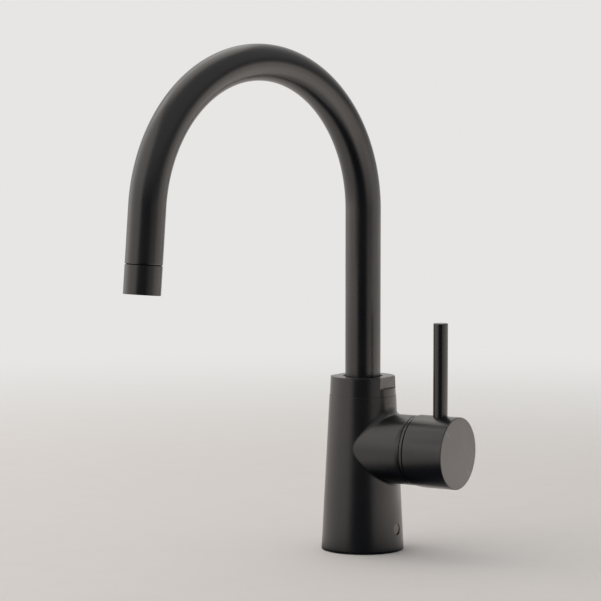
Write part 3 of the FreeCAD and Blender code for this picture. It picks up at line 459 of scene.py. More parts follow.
def loose_object(name, mesh):
    """An object that holds a bmesh's shape, linked to the scene."""
    data = bpy.data.meshes.new(name)
    mesh.to_mesh(data)
    mesh.free()
    item = bpy.data.objects.new(name, data)
    bpy.context.scene.collection.objects.link(item)
    return item


def settle(item):
    """Turns the object's modifiers into plain mesh."""
    bpy.context.view_layer.update()
    evaluated = item.evaluated_get(bpy.context.evaluated_depsgraph_get())
    item.data = bpy.data.meshes.new_from_object(evaluated)
    item.modifiers.clear()
    item.data.name = item.name


def carve(item, cutters, operation="DIFFERENCE"):
    """Cuts each mesh out of the object, or joins it on."""
    tools = [loose_object(f"{item.name}_tool_{k}", mesh) for k, mesh in enumerate(cutters)]
    for tool in tools:
        step = item.modifiers.new("cut", "BOOLEAN")
        step.operation = operation
        step.solver = "EXACT"
        step.object = tool
    settle(item)
    for tool in tools:
        bpy.data.meshes.remove(tool.data)


def break_edges(item, width, sharpest=math.radians(24)):
    """A small two-step bevel on the edges that a cut has left sharp."""
    step = item.modifiers.new("break_edges", "BEVEL")
    step.width = width
    step.segments = 2
    step.limit_method = "ANGLE"
    step.angle_limit = sharpest
    step.use_clamp_overlap = True
    step.miter_outer = "MITER_ARC"
    settle(item)


def finish_piece(item, body, slot, *nodes, sharp=math.radians(34), material=None):
    """Smooths the piece, gives it its finish, and puts it in place of its CAD nodes."""
    data = item.data
    data.materials.clear()
    data.materials.append(material or FINISHES[slot])
    data.shade_smooth()
    data.set_sharp_from_angle(angle=sharp)
    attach(item, body)
    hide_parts(*nodes)


def paint_shade_in_groove(item, line, start, end, radius):
    """Paints the floor of a groove, nearer its axis than the radius, black and dull: painted shade
    where the groove lies in shadow.
    """
    data, back = item.data, line.inverted()
    data.materials.append(GROOVE_PAINTED_SHADE)
    for face in data.polygons:
        spot = back @ face.center
        if start < spot.z < end and math.hypot(spot.x, spot.y) < radius:
            face.material_index = len(data.materials) - 1


# -------- body casting

def cone_radius(height):
    return BASE_RADIUS - CONE_SLOPE * height


def blend_arc(angle, steps=12):
    """Points of the rolled blend at an angle round the branch, from the cone to the branch."""
    radius = (BLEND_TOP + BLEND_BOTTOM) / 2 + (BLEND_TOP - BLEND_BOTTOM) / 2 * math.sin(angle)
    away = BRANCH_RADIUS + radius
    y, z = away * math.cos(angle), HANDLE_HEIGHT + away * math.sin(angle)
    lean = math.atan(CONE_SLOPE)
    reach = cone_radius(z) + radius / math.cos(lean)
    centre = Vector((math.sqrt(reach ** 2 - y ** 2), y, z))
    outwards = Vector((centre.x, centre.y, 0)).normalized() * math.cos(lean)
    to_cone = -(outwards + Vector((0, 0, math.sin(lean))))
    to_branch = -Vector((0, math.cos(angle), math.sin(angle)))
    return [centre + to_cone.slerp(to_branch, k / steps) * radius for k in range(steps + 1)]


def casting_skin(around=480, rings=36, branch_rings=8):
    """The cone and the branch as one closed skin. Its rows run from the blend's foot outwards over
    the whole unrolled cone, so the quads flow round the branch."""
    quarter, crowding = around // 4, 1.25          # rows crowd towards the blend
    base, shoulder = BASE_ROUND, BODY_HEIGHT - SEAM_EDGE
    angles = [2 * math.pi * k / around - math.pi / 4 for k in range(around)]
    arcs = [blend_arc(angle) for angle in angles]

    def unrolled_edge(k):
        """The k-th place on the border of the unrolled cone, as (turn, height)."""
        side, part = divmod(k, quarter)
        share = part / quarter
        turn = (1.0, 1.0 - 2.0 * share, -1.0, 2.0 * share - 1.0)[side]
        rise = (share, 1.0, 1.0 - share, 0.0)[side]
        return turn * math.pi, base + rise * (shoulder - base)

    def on_cone(turn, height):
        radius = cone_radius(height)
        return Vector((radius * math.cos(turn), radius * math.sin(turn), height))

    rows = []
    for ring in range(rings, 0, -1):
        share = (ring / rings) ** crowding
        row = []
        for k in range(around):
            foot = arcs[k][0]
            inner = Vector((math.atan2(foot.y, foot.x), foot.z))
            row.append(on_cone(*inner.lerp(Vector(unrolled_edge(k)), share)))
        rows.append(row)
    rows += [[arc[step] for arc in arcs] for step in range(len(arcs[0]))]
    straight = BRANCH_END - SEAM_EDGE
    for ring in range(1, branch_rings + 1):
        rows.append([Vector((arc[-1].x + (straight - arc[-1].x) * ring / branch_rings,
                             arc[-1].y, arc[-1].z)) for arc in arcs])
    part_way = ARC_INSET * SEAM_EDGE
    for x, inset in ((BRANCH_END - part_way, part_way), (BRANCH_END, SEAM_EDGE)):
        rows.append([Vector((x, (BRANCH_RADIUS - inset) * math.cos(a),
                             HANDLE_HEIGHT + (BRANCH_RADIUS - inset) * math.sin(a)))
                     for a in angles])

    mesh = bmesh.new()
    grid = [[mesh.verts.new(point) for point in row] for row in rows]
    for near, far in zip(grid, grid[1:]):
        for k in range(around):
            j = (k + 1) % around
            mesh.faces.new((near[k], near[j], far[j], far[k]))
    middle = mesh.verts.new((BRANCH_END, 0, HANDLE_HEIGHT))
    for k in range(around):
        mesh.faces.new((grid[-1][k], grid[-1][(k + 1) % around], middle))

    foot = [(cone_radius(BASE_ROUND) - ARC_INSET * BASE_ROUND, ARC_INSET * BASE_ROUND),
            (BASE_RADIUS - BASE_ROUND, 0.0)]
    head = [(cone_radius(shoulder) - part_way, BODY_HEIGHT - part_way),
            (cone_radius(shoulder) - SEAM_EDGE, BODY_HEIGHT), (NECK_RADIUS, BODY_HEIGHT),
            (NECK_RADIUS, NECK_TOP - EDGE), (NECK_RADIUS - EDGE, NECK_TOP)]
    for start, profile in ((3 * quarter, foot), (quarter, head)):
        edge = [grid[0][(start + k) % around] for k in range(quarter + 1)]
        turns = [unrolled_edge((start + k) % around)[0] for k in range(quarter + 1)]
        turns[-1] = -turns[0]
        for radius, height in profile:
            following = [mesh.verts.new((radius * math.cos(t), radius * math.sin(t), height))
                         for t in turns]
            for k in range(quarter):
                mesh.faces.new((edge[k], edge[k + 1], following[k + 1], following[k]))
            edge = following
        tip = mesh.verts.new((0, 0, profile[-1][1]))
        for k in range(quarter):
            mesh.faces.new((edge[k], edge[k + 1], tip))
    bmesh.ops.remove_doubles(mesh, verts=mesh.verts, dist=COINCIDENT)
    bmesh.ops.recalc_face_normals(mesh, faces=mesh.faces)
    return mesh


def faucet_body():
    item = loose_object("black_faucet_body", casting_skin())
    below = -EDGE
    underside = revolve([
        (0, below), (SEAL_RADIUS, below), (SEAL_RADIUS, SEAL_THICKNESS),
        (FLANGE_RADIUS, SEAL_THICKNESS), (FLANGE_RADIUS, FLANGE_THICKNESS),
        (CAVITY_RADIUS, FLANGE_THICKNESS), (CAVITY_RADIUS, CAVITY_TOP), (0, CAVITY_TOP)])
    clear = BRANCH_END + EDGE
    cutters = [
        underside, rod(SCREW_RADIUS, SCREW_TIP, PLUG_FLOOR + EDGE, PLUG_LINE),
        rod(PLUG_RADIUS + PLUG_GAP, PLUG_FLOOR, clear, PLUG_LINE, SMALL_FACETS),
        rod(CARTRIDGE_RADIUS, CARTRIDGE_SEAT, clear, HANDLE, AROUND),
        threaded_rod(NUT_RADIUS, NUT_SEAT, clear, HANDLE, AROUND),
        rod(SOCKET_RADIUS, SOCKET_FLOOR, NECK_TOP + EDGE, Matrix(), AROUND)]
    for side in (-1, 1):
        inlet = Matrix.Translation((HOSE_SETBACK, side * HOSE_SPREAD, 0))
        cutters += [threaded_rod(HOSE_RADIUS, CAVITY_TOP - EDGE, HOSE_TOP, inlet),
                    rod(PORT_RADIUS, HOSE_TOP - EDGE, HANDLE_HEIGHT + PORT_RISE, inlet)]
    carve(item, cutters)
    finish_piece(item, "valve_body", "black_casting", "faucet_body")


# -------- base and its insert

def base_pieces():
    insert = loose_object("brass_base_insert", revolve([
        (INSERT_BORE, 0, EDGE), (FLANGE_RADIUS, 0, FINE_EDGE),
        (FLANGE_RADIUS, FLANGE_THICKNESS, FINE_EDGE), (CAVITY_RADIUS, FLANGE_THICKNESS),
        (CAVITY_RADIUS, INSERT_TOP, EDGE), (INSERT_BORE, INSERT_TOP, EDGE)]))
    studs = []
    for side in (-1, 1):
        spot = Matrix.Translation((0, side * STUD_OFFSET, 0))
        studs.append(threaded_rod(STUD_RADIUS + THREAD_DEPTH / 2, -EDGE, INSERT_TOP + EDGE, spot))
        studs.append(revolve([(0, -EDGE), (STUD_RADIUS + 3 * EDGE, -EDGE),
                              (STUD_RADIUS, 3 * EDGE), (0, 3 * EDGE)], spot, ROD_FACETS))
    carve(insert, studs)
    finish_piece(insert, "valve_body", "brass", "base_insert")
    width = SEAL_RADIUS - FLANGE_RADIUS
    ribs = [(FLANGE_RADIUS + share * width, 0, FINE_EDGE) for share in (0.15, 0.35, 0.65, 0.85)]
    seal = loose_object("rubber_base_seal", revolve([
        (FLANGE_RADIUS, SEAL_RIB, FINE_EDGE), *ribs[:2],
        (FLANGE_RADIUS + 0.5 * width, SEAL_RIB), *ribs[2:], (SEAL_RADIUS, SEAL_RIB, FINE_EDGE),
        (SEAL_RADIUS, SEAL_THICKNESS, FINE_EDGE), (FLANGE_RADIUS, SEAL_THICKNESS, FINE_EDGE)]))
    finish_piece(seal, "valve_body", "rubber", "base_seal")

    def dome(share):
        """The plug's face at a share of its radius: (radius, height)."""
        return share * PLUG_RADIUS, PLUG_FACE - share ** 2 * PLUG_DOME

    plug = loose_object("grey_base_plug", revolve([
        (0, PLUG_FLOOR), (PLUG_RADIUS, PLUG_FLOOR, FINE_EDGE), (*dome(1.0), FINE_EDGE),
        (*dome(0.6), FINE_EDGE), dome(0.3), (0, PLUG_FACE)], PLUG_LINE, SMALL_FACETS))
    # The plug takes the lighter metal in place of its black_trim slot: painted brightness on its
    # face.
    finish_piece(plug, "valve_body", "black_trim", "base_plug", material=PLUG_PAINTED_BRIGHT_METAL)


# -------- collar and slide ring

def collar_pieces():
    collar = loose_object("black_spout_collar", revolve([
        (COLLAR_THREAD, BODY_HEIGHT), (COLLAR_FOOT, BODY_HEIGHT, SEAM_EDGE),
        (COLLAR_HEAD, COLLAR_TOP, COLLAR_EDGE), (COLLAR_OPENING, COLLAR_TOP, FINE_EDGE),
        (COLLAR_OPENING, COLLAR_TOP - COLLAR_ROOF), (COLLAR_THREAD, COLLAR_TOP - COLLAR_ROOF)]))
    ledge, beyond = COLLAR_TOP - FLAT_HEIGHT, 2 * COLLAR_FOOT
    flats = [prism([(side * FLAT_OFFSET, ledge), (side * beyond, ledge),
                    (side * beyond, COLLAR_TOP + EDGE), (side * FLAT_OFFSET, COLLAR_TOP + EDGE)],
                   beyond) for side in (-1, 1)]
    carve(collar, flats)
    break_edges(collar, SEAM_EDGE)
    finish_piece(collar, "valve_body", "black_trim", "spout_collar", sharp=math.radians(12))
    ring = loose_object("plastic_upper_slide_ring", revolve([
        (RING_BORE, RING_FOOT), (RING_RADIUS, RING_FOOT), (RING_RADIUS, RING_STEP, FINE_EDGE),
        (LIP_RADIUS, RING_STEP), (LIP_RADIUS, LIP_TOP, COLLAR_EDGE),
        (RING_BORE, LIP_TOP, FINE_EDGE)]))
    finish_piece(ring, "valve_body", "grey_plastic", "upper_slide_ring")


# -------- gooseneck

def gooseneck_tree():
    """A bent tube's two walls: a line of points is laid along riser, bend and straight end, and a
    round section is carried along it."""
    tree, given, result = group_tree(
        "gooseneck_tube", {"Foot": ("Float", 0.0), "Bend Start": ("Float", 0.2),
                           "Bend Radius": ("Float", 0.09), "Bend Angle": ("Float", 3.0),
                           "Straight End": ("Float", 0.03), "Radius": ("Float", 0.01),
                           "Bore": ("Float", 0.009), "Stations": ("Int", 300),
                           "Facets": ("Int", 96), "Finish": ("Material", None)},
        {"Geometry": ("Geometry", None)}, "GeometryNodeTree")
    riser = calculate(tree, "SUBTRACT", given["Bend Start"], given["Foot"])
    arc = calculate(tree, "MULTIPLY", given["Bend Radius"], given["Bend Angle"])
    whole = calculate(tree, "ADD", calculate(tree, "ADD", riser, arc), given["Straight End"])
    along = calculate(tree, "MULTIPLY", whole,
                      add_node(tree, "GeometryNodeSplineParameter").outputs["Factor"])
    past = calculate(tree, "SUBTRACT", along, riser)
    turn = calculate(tree, "MINIMUM", calculate(tree, "MAXIMUM", calculate(
        tree, "DIVIDE", past, given["Bend Radius"]), 0.0), given["Bend Angle"])
    end = calculate(tree, "MAXIMUM", calculate(tree, "SUBTRACT", past, arc), 0.0)
    out = calculate(tree, "MULTIPLY_ADD", end, calculate(tree, "SINE", given["Bend Angle"]),
                    calculate(tree, "MULTIPLY", given["Bend Radius"], calculate(
                        tree, "SUBTRACT", 1.0, calculate(tree, "COSINE", turn))))
    climb = calculate(tree, "ADD", given["Foot"], calculate(tree, "MINIMUM", along, riser))
    up = calculate(tree, "MULTIPLY_ADD", end, calculate(tree, "COSINE", given["Bend Angle"]),
                   calculate(tree, "MULTIPLY_ADD", given["Bend Radius"],
                             calculate(tree, "SINE", turn), climb))
    straight = add_node(tree, "GeometryNodeCurvePrimitiveLine")
    line = add_node(tree, "GeometryNodeResampleCurve", None, Count=given["Stations"],
                    Curve=straight.outputs[0])
    path = add_node(tree, "GeometryNodeSetPosition", None, Geometry=line.outputs[0],
                    Position=add_node(tree, "ShaderNodeCombineXYZ", None, X=out, Z=up).outputs[0])
    walls = add_node(tree, "GeometryNodeJoinGeometry")
    for size, flip in (("Radius", False), ("Bore", True)):
        section = add_node(tree, "GeometryNodeCurvePrimitiveCircle", None,
                           Resolution=given["Facets"], Radius=given[size])
        wall = add_node(tree, "GeometryNodeCurveToMesh", None, Curve=path.outputs[0],
                        Profile_Curve=section.outputs[0]).outputs[0]
        if flip:
            wall = add_node(tree, "GeometryNodeFlipFaces", None, Mesh=wall).outputs[0]
        tree.links.new(wall, walls.inputs[0])
    whole_tube = add_node(tree, "GeometryNodeRealizeInstances", None, Geometry=walls.outputs[0])
    tree.links.new(add_node(tree, "GeometryNodeSetMaterial", None, Material=given["Finish"],
                            Geometry=whole_tube.outputs[0]).outputs[0], result["Geometry"])
    return tree


def run_tree(item, tree, **values):
    """Runs a geometry tree on the object with its named inputs, then keeps the plain mesh."""
    step = item.modifiers.new(tree.name, "NODES")
    step.node_group = tree
    for socket in tree.interface.items_tree:
        if socket.in_out == "INPUT" and socket.name.replace(" ", "_") in values:
            step[socket.identifier] = values[socket.name.replace(" ", "_")]
    settle(item)


def spout_tube():
    item = loose_object("black_spout_tube", bmesh.new())
    run_tree(item, gooseneck_tree(), Foot=RING_FOOT, Bend_Start=BEND_START,
             Bend_Radius=BEND_RADIUS, Bend_Angle=BEND_ANGLE, Straight_End=LEG - AERATOR_LENGTH,
             Radius=TUBE_RADIUS, Bore=TUBE_BORE, Stations=420, Facets=128,
             Finish=FINISHES["black_tube"])
    mesh = bmesh.new()
    mesh.from_mesh(item.data)
    rims = [edge for edge in mesh.edges if edge.is_boundary]
    for at_foot in (True, False):
        ends = [e for e in rims if (e.verts[0].co.x < BEND_RADIUS) == at_foot]
        bmesh.ops.bridge_loops(mesh, edges=ends)
    bmesh.ops.bevel(mesh, geom=rims, offset=FINE_EDGE, segments=3, profile=0.5,
                    affect="EDGES")
    placed(mesh, SPOUT).to_mesh(item.data)
    mesh.free()
    finish_piece(item, "spout", "black_tube", "spout_tube")


# -------- aerator

def jet_plate_tree():
    """Drills a plate with one middle jet and rings of jets round it."""
    sockets = {"Geometry": ("Geometry", None), "Jet Radius": ("Float", 0.0008),
               "Depth": ("Float", 0.02), "Finish": ("Material", None)}
    for k in range(len(JET_CIRCLES)):
        sockets[f"Jets {k}"] = ("Int", 6)
        sockets[f"Circle {k}"] = ("Float", 0.004)
    tree, given, result = group_tree("jet_plate", sockets, {"Geometry": ("Geometry", None)},
                                     "GeometryNodeTree")
    spots = add_node(tree, "GeometryNodeJoinGeometry")
    tree.links.new(add_node(tree, "GeometryNodePoints", None, Count=1).outputs[0],
                   spots.inputs[0])
    for k in range(len(JET_CIRCLES)):
        circle = add_node(tree, "GeometryNodeMeshCircle", None, Vertices=given[f"Jets {k}"],
                          Radius=given[f"Circle {k}"])
        tree.links.new(add_node(tree, "GeometryNodeMeshToPoints", None,
                                Mesh=circle.outputs[0]).outputs[0], spots.inputs[0])
    drill = add_node(tree, "GeometryNodeMeshCylinder", None, Vertices=24,
                     Radius=given["Jet Radius"], Depth=given["Depth"])
    drills = add_node(tree, "GeometryNodeInstanceOnPoints", None, Points=spots.outputs[0],
                      Instance=drill.outputs[0])
    holes = add_node(tree, "GeometryNodeRealizeInstances", None, Geometry=drills.outputs[0])
    drilled = add_node(tree, "GeometryNodeMeshBoolean", {"operation": "DIFFERENCE",
                                                         "solver": "EXACT"})
    tree.links.new(given["Geometry"], drilled.inputs["Mesh 1"])
    tree.links.new(holes.outputs[0], drilled.inputs["Mesh 2"])
    tree.links.new(add_node(tree, "GeometryNodeSetMaterial", None, Material=given["Finish"],
                            Geometry=drilled.outputs[0]).outputs[0], result["Geometry"])
    return tree


def aerator_pieces():
    ring = loose_object("black_aerator_ring", revolve([
        (AERATOR_LIP_BORE, 0, FINE_EDGE), (TUBE_RADIUS, 0, EDGE),
        (TUBE_RADIUS, AERATOR_LENGTH - GROOVE_WIDTH, SEAM_EDGE),
        (TUBE_RADIUS - GROOVE_DEPTH, AERATOR_LENGTH - GROOVE_WIDTH),
        (TUBE_RADIUS - GROOVE_DEPTH, AERATOR_LENGTH), (AERATOR_THREAD, AERATOR_LENGTH),
        (AERATOR_THREAD, CORE_TOP), (AERATOR_BORE, CORE_TOP), (AERATOR_BORE, AERATOR_LIP),
        (AERATOR_LIP_BORE, AERATOR_LIP, FINE_EDGE)], TIP))
    finish_piece(ring, "spout", "black_trim", "aerator_ring")
    # Painted shade in the groove at the back of the aerator ring.
    paint_shade_in_groove(ring, TIP, AERATOR_LENGTH - 1.5 * GROOVE_WIDTH, AERATOR_LENGTH + GROOVE_WIDTH,
                 TUBE_RADIUS - GROOVE_DEPTH / 3)
    ledge = CORE_TOP - SCREEN_LEDGE
    core = loose_object("plastic_aerator_core", revolve([
        (0, AERATOR_LIP), (CORE_RADIUS, AERATOR_LIP), (CORE_RADIUS, CORE_TOP, FINE_EDGE),
        (SCREEN_RADIUS, CORE_TOP, FINE_EDGE), (SCREEN_RADIUS, ledge),
        (SCREEN_RADIUS - SCREEN_LEDGE, ledge, FINE_EDGE),
        (SCREEN_RADIUS - SCREEN_LEDGE, JET_PLATE), (0, JET_PLATE)]))
    sizes = {}
    for k, (count, circle) in enumerate(JET_CIRCLES):
        sizes.update({f"Jets_{k}": count, f"Circle_{k}": circle})
    run_tree(core, jet_plate_tree(), Jet_Radius=JET_RADIUS, Depth=4 * CORE_TOP,
             Finish=FINISHES["grey_plastic"], **sizes)
    core.data.transform(TIP)
    finish_piece(core, "spout", "grey_plastic", "aerator_core")


# -------- cover ring and handle

def cover_ring():
    item = loose_object("black_cover_ring", revolve([
        (COVER_BORE, BRANCH_END), (BRANCH_RADIUS - GROOVE_DEPTH, BRANCH_END),
        (BRANCH_RADIUS - GROOVE_DEPTH, BRANCH_END + GROOVE_WIDTH),
        (BRANCH_RADIUS, BRANCH_END + GROOVE_WIDTH, SEAM_EDGE),
        (BRANCH_RADIUS, COVER_END, SEAM_EDGE), (SKIRT_RADIUS, COVER_END),
        (SKIRT_RADIUS, CAP_START + EDGE), (SKIRT_RADIUS, SKIRT_END, FINE_EDGE),
        (COVER_BORE, SKIRT_END, FINE_EDGE)], HANDLE, HANDLE_FACETS))
    finish_piece(item, "valve_body", "black_trim", "cover_ring")
    # Painted shade in the seam groove by the branch and in the gap between the cover ring and the
    # cap.
    paint_shade_in_groove(item, HANDLE, BRANCH_END - GROOVE_WIDTH, BRANCH_END + 1.5 * GROOVE_WIDTH,
                 BRANCH_RADIUS - GROOVE_DEPTH / 3)
    paint_shade_in_groove(item, HANDLE, COVER_END - GROOVE_WIDTH / 4, CAP_START + EDGE,
                 BRANCH_RADIUS - GROOVE_DEPTH)


def across(distance, upwards=False):
    """The place of a drilling down or up from the handle's axis, at right angles to it."""
    return (Matrix.Translation((distance, 0, HANDLE_HEIGHT))
            @ Matrix.Rotation(0.0 if upwards else math.pi, 4, "X"))


def handle_cap():
    item = loose_object("black_handle_cap", revolve([
        (CAP_RELIEF, CAP_START, SEAM_EDGE), (CAP_RADIUS, CAP_START, SEAM_EDGE),
        (CAP_RADIUS, CAP_END, END_EDGE), (0, CAP_END), (0, CAP_FLOOR),
        (CAP_BORE, CAP_FLOOR, EDGE), (CAP_BORE, CAP_START + RELIEF_DEPTH)], HANDLE,
        HANDLE_FACETS))
    wall = (CAP_BORE + CAP_RADIUS) / 2
    pin_line = across(PIN_DISTANCE, upwards=True)
    carve(item, [
        rod(STEM_BOSS, STEM_START, CAP_FLOOR + EDGE, HANDLE),
        rod(PIN_BOSS, 0, wall, pin_line),
        rod(SCREW_BOSS, 0, wall, across(SCREW_DISTANCE))], "UNION")
    half = STEM_HOLE / 2
    rim, end = CAP_RADIUS, CAP_START + BEVEL_LENGTH
    bevel = prism([(rim - BEVEL_DEPTH, CAP_START - EDGE), (rim - BEVEL_DEPTH, CAP_START),
                   (rim, end), (rim + BEVEL_DEPTH, end), (rim + BEVEL_DEPTH, CAP_START - EDGE)],
                  2 * CAP_RADIUS, HANDLE)
    square = prism([(-half, STEM_START - EDGE), (half, STEM_START - EDGE), (half, STEM_END),
                    (-half, STEM_END)], half, HANDLE)
    carve(item, [
        bevel, square,
        rod(PIN_RADIUS + PIN_FIT, PIN_SEAT, 2 * CAP_RADIUS, pin_line, SMALL_FACETS),
        threaded_rod(PIN_SPIGOT, PIN_SEAT - PIN_SPIGOT_LENGTH, PIN_SEAT + EDGE, pin_line),
        threaded_rod(SCREW_RADIUS, half, 2 * CAP_RADIUS, across(SCREW_DISTANCE))])
    finish_piece(item, "lever", "black_trim", "handle_cap")
    seat = HANDLE_HEIGHT + PIN_SEAT
    pin = loose_object("black_lever_pin", revolve([
        (0, seat - PIN_SPIGOT_LENGTH), (PIN_SPIGOT - THREAD_DEPTH, seat - PIN_SPIGOT_LENGTH, EDGE),
        (PIN_SPIGOT - THREAD_DEPTH, seat), (PIN_RADIUS, seat, FINE_EDGE),
        (PIN_RADIUS, PIN_TOP, END_EDGE), (0, PIN_TOP)],
        Matrix.Translation((PIN_DISTANCE, 0, 0)), SMALL_FACETS))
    finish_piece(pin, "lever", "black_trim", "lever_pin")


def inner_finishes():
    """The pieces that keep their CAD meshes take the finish of their own material slot."""
    for entry in frame["record"]["subparts"]:
        name, slot = entry["node"], entry["material_slot"]
        finish = BRANCH_BRASS if name in ("cartridge_nut", "valve_stem") else FINISHES[slot]
        data = frame["nodes"][name].data
        data.materials.clear()
        data.materials.append(finish)


# -------- floor, light and camera

CAMERA_SPOT = Vector((0.8673, -1.4435, 0.2872))
CAMERA_HEADING, CAMERA_PITCH = math.radians(122.3225), math.radians(-4.466)
LENS, SENSOR_WIDTH = 162.5, 36.0             # millimetres
UP = Vector((0, 0, 1))


def bearing(degrees):
    """The level direction at a bearing from the camera's side, in degrees to the right."""
    turn = CAMERA_HEADING + math.pi + math.radians(degrees)
    return Vector((math.cos(turn), math.sin(turn), 0.0))


PALE, PALE_FIBRE = (0.80, 0.79, 0.775, 1.0), (0.79, 0.78, 0.765, 1.0)
PAINTED_SHEEN = (0.86, 0.79, 0.75, 1.0)              # painted reflection: the lit board's colour, as an emission that only mirrored rays see
DIM = (0.020, 0.027, 0.040, 1.0)             # the dark room on the camera's side
OVERHEAD = (0.45, 0.45, 0.45, 1.0)
FLOOR_RADIUS, FLOOR_ROUGHNESS, FLOOR_SPECULAR = 9.0, 0.8, 0.2
FLOOR_NEAR, FLOOR_FAR = 0.30, 1.3            # where the lit board gives way to the pale distance
PAINTED_SHADOW_SPOT, PAINTED_SHADOW_NEAR, PAINTED_SHADOW_FAR = 0.03 * bearing(0.0), 0.015, 0.10    # painted contact shadow by the foot, seen only in reflections
PAINTED_DARK_BEARING = -6.5                          # the middle of the painted dark wedge that mirrored rays see on the floor
PAINTED_DARK_INNER, PAINTED_DARK_OUTER = math.cos(math.radians(21)), math.cos(math.radians(40))
BRIGHT_BEARING = -160.0                      # the middle of its bright side
WARM = (1.0, 0.91, 0.84)


def measure(tree, operation, place, other):
    """A place's DISTANCE from, or DOT_PRODUCT with, a fixed vector."""
    item = add_node(tree, "ShaderNodeVectorMath", {"operation": operation})
    tree.links.new(place, item.inputs[0])
    item.inputs[1].default_value = other
    return item.outputs["Value"]


def towards(tree, place, direction):
    """How nearly a place lies in a direction, as the cosine between them."""
    unit = add_node(tree, "ShaderNodeVectorMath", {"operation": "NORMALIZE"})
    tree.links.new(place, unit.inputs[0])
    return measure(tree, "DOT_PRODUCT", unit.outputs[0], direction)


def mix_shaders(tree, amount, first, second):
    mix = add_node(tree, "ShaderNodeMixShader", None, Fac=amount)
    tree.links.new(first.outputs[0], mix.inputs[1])
    tree.links.new(second.outputs[0], mix.inputs[2])
    return mix


def mirror_ray(tree, path):
    """1 for a ray that a shiny or clear surface has sent on."""
    return calculate(tree, "ADD", path["Is Glossy Ray"], path["Is Transmission Ray"], clamp=True)


def floor():
    """A pale round of board, lit like the rest, that fades into the pale surroundings. To mirrored
    rays it is an emission of painted reflection: a painted sheen, with a painted dark wedge
    towards the camera's side and a painted contact shadow by the foot. From below it is clear."""
    mesh = bmesh.new()
    bmesh.ops.create_circle(mesh, cap_ends=True, segments=SMALL_FACETS, radius=FLOOR_RADIUS)
    item = loose_object("pale_floor", mesh)
    material, tree, place, shader = new_finish("pale_board")
    fibre = add_node(tree, "ShaderNodeTexNoise", None, Vector=place, Scale=40.0, Detail=4.0)
    connect_all(tree, shader.inputs, Roughness=FLOOR_ROUGHNESS, Specular_IOR_Level=FLOOR_SPECULAR,
                Base_Color=blend_colours(
                    tree, spread(tree, fibre.outputs[0], 0.3, 0.7), PALE, PALE_FIBRE))
    path = add_node(tree, "ShaderNodeLightPath").outputs
    flat_light = calculate(tree, "MAXIMUM", mirror_ray(tree, path), calculate(
        tree, "MULTIPLY", path["Is Camera Ray"], spread(
            tree, measure(tree, "DISTANCE", place, Vector()), FLOOR_NEAR, FLOOR_FAR)))
    # Painted dark reflection: a wedge of the floor towards the camera's side shows DIM to mirrored
    # rays.
    wedge = spread(tree, towards(tree, place, bearing(PAINTED_DARK_BEARING)), PAINTED_DARK_OUTER, PAINTED_DARK_INNER,
                   1.0, 0.0)
    # Painted contact shadow: a dark spot by the foot, in reflections only.
    painted_shadow = spread(tree, measure(tree, "DISTANCE", place, PAINTED_SHADOW_SPOT), PAINTED_SHADOW_NEAR,
                     PAINTED_SHADOW_FAR)
    mirrored = blend_colours(tree, calculate(tree, "MULTIPLY", wedge, painted_shadow), DIM, PAINTED_SHEEN)
    # Mirrored rays get the painted reflection; the camera gets the even pale floor.
    flat = add_node(tree, "ShaderNodeEmission", None, Color=blend_colours(
        tree, path["Is Camera Ray"], mirrored, PALE))
    from_above = mix_shaders(tree, flat_light, shader, flat)
    clear = add_node(tree, "ShaderNodeBsdfTransparent")
    below = add_node(tree, "ShaderNodeNewGeometry").outputs["Backfacing"]
    tree.links.new(mix_shaders(tree, below, from_above, clear).outputs[0],
                   tree.nodes["Material Output"].inputs[0])
    item.data.materials.append(material)


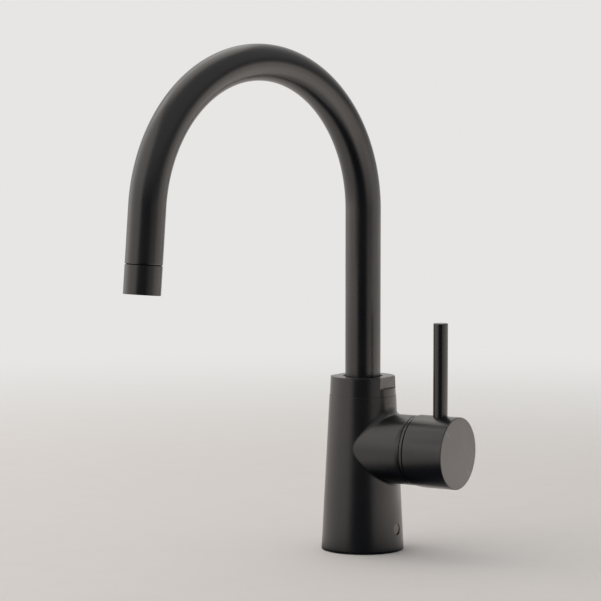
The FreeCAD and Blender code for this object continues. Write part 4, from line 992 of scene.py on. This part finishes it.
def surroundings():
    """Pale all round to the camera; mirrored in the object, pale behind it and dim in front."""
    world = bpy.data.worlds.new("studio")
    bpy.context.scene.world = world
    world.use_nodes = True
    tree = world.node_tree
    tree.nodes.clear()
    around = add_node(tree, "ShaderNodeTexCoord").outputs["Generated"]
    path = add_node(tree, "ShaderNodeLightPath").outputs
    behind = spread(tree, towards(tree, around, bearing(BRIGHT_BEARING)), 0.1, 0.8)
    pale = calculate(tree, "MAXIMUM", path["Is Camera Ray"],
                     calculate(tree, "MULTIPLY", behind, mirror_ray(tree, path)))
    above = spread(tree, towards(tree, around, UP), -0.05, 0.5)
    room = blend_colours(tree, above, DIM, OVERHEAD)
    shown = add_node(tree, "ShaderNodeBackground", None, Color=blend_colours(
        tree, pale, room, PALE))
    tree.links.new(shown.outputs[0], add_node(tree, "ShaderNodeOutputWorld").inputs[0])


PANELS = (    # name, bearing, distance, height, target, size, radiance
    ("left_panel", -82.0, 1.1, 0.76, 0.46 * UP, (2.6, 1.45), 0.92),
    ("right_panel", 97.0, 0.95, 0.25, 0.25 * UP, (1.33, 0.30), 0.60),
    ("overhead_panel", -150.0, 0.7, 1.5, 0.17 * UP, (1.5, 1.5), 0.95),
    ("right_card", 92.0, 0.60, 0.010, 0.58 * bearing(92.0) + 1.010 * UP, (0.9, 0.8), 0.75))


def lights():
    """Soft panels, each turned to its target and as bright as its radiance."""
    for name, side, away, height, target, size, radiance in PANELS:
        lamp = bpy.data.lights.new(name, "AREA")
        lamp.shape = "RECTANGLE"
        lamp.size, lamp.size_y = size
        lamp.energy = radiance * math.pi * size[0] * size[1]
        lamp.color = WARM
        item = bpy.data.objects.new(name, lamp)
        bpy.context.scene.collection.objects.link(item)
        item.location = away * bearing(side) + height * UP
        item.rotation_euler = (target - item.location).to_track_quat("-Z", "Y").to_euler()
        item.visible_camera = False
    bpy.context.scene.view_settings.view_transform = "Standard"


def camera():
    lens = bpy.data.cameras.new("camera")
    lens.lens, lens.sensor_width = LENS, SENSOR_WIDTH
    item = bpy.data.objects.new("camera", lens)
    bpy.context.scene.collection.objects.link(item)
    item.location = CAMERA_SPOT
    item.rotation_euler = (math.pi / 2 + CAMERA_PITCH, 0, CAMERA_HEADING - math.pi / 2)
    bpy.context.scene.camera = item


# -------- build

faucet_body()
base_pieces()
collar_pieces()
spout_tube()
aerator_pieces()
cover_ring()
handle_cap()
inner_finishes()
floor()
surroundings()
camera()
lights()
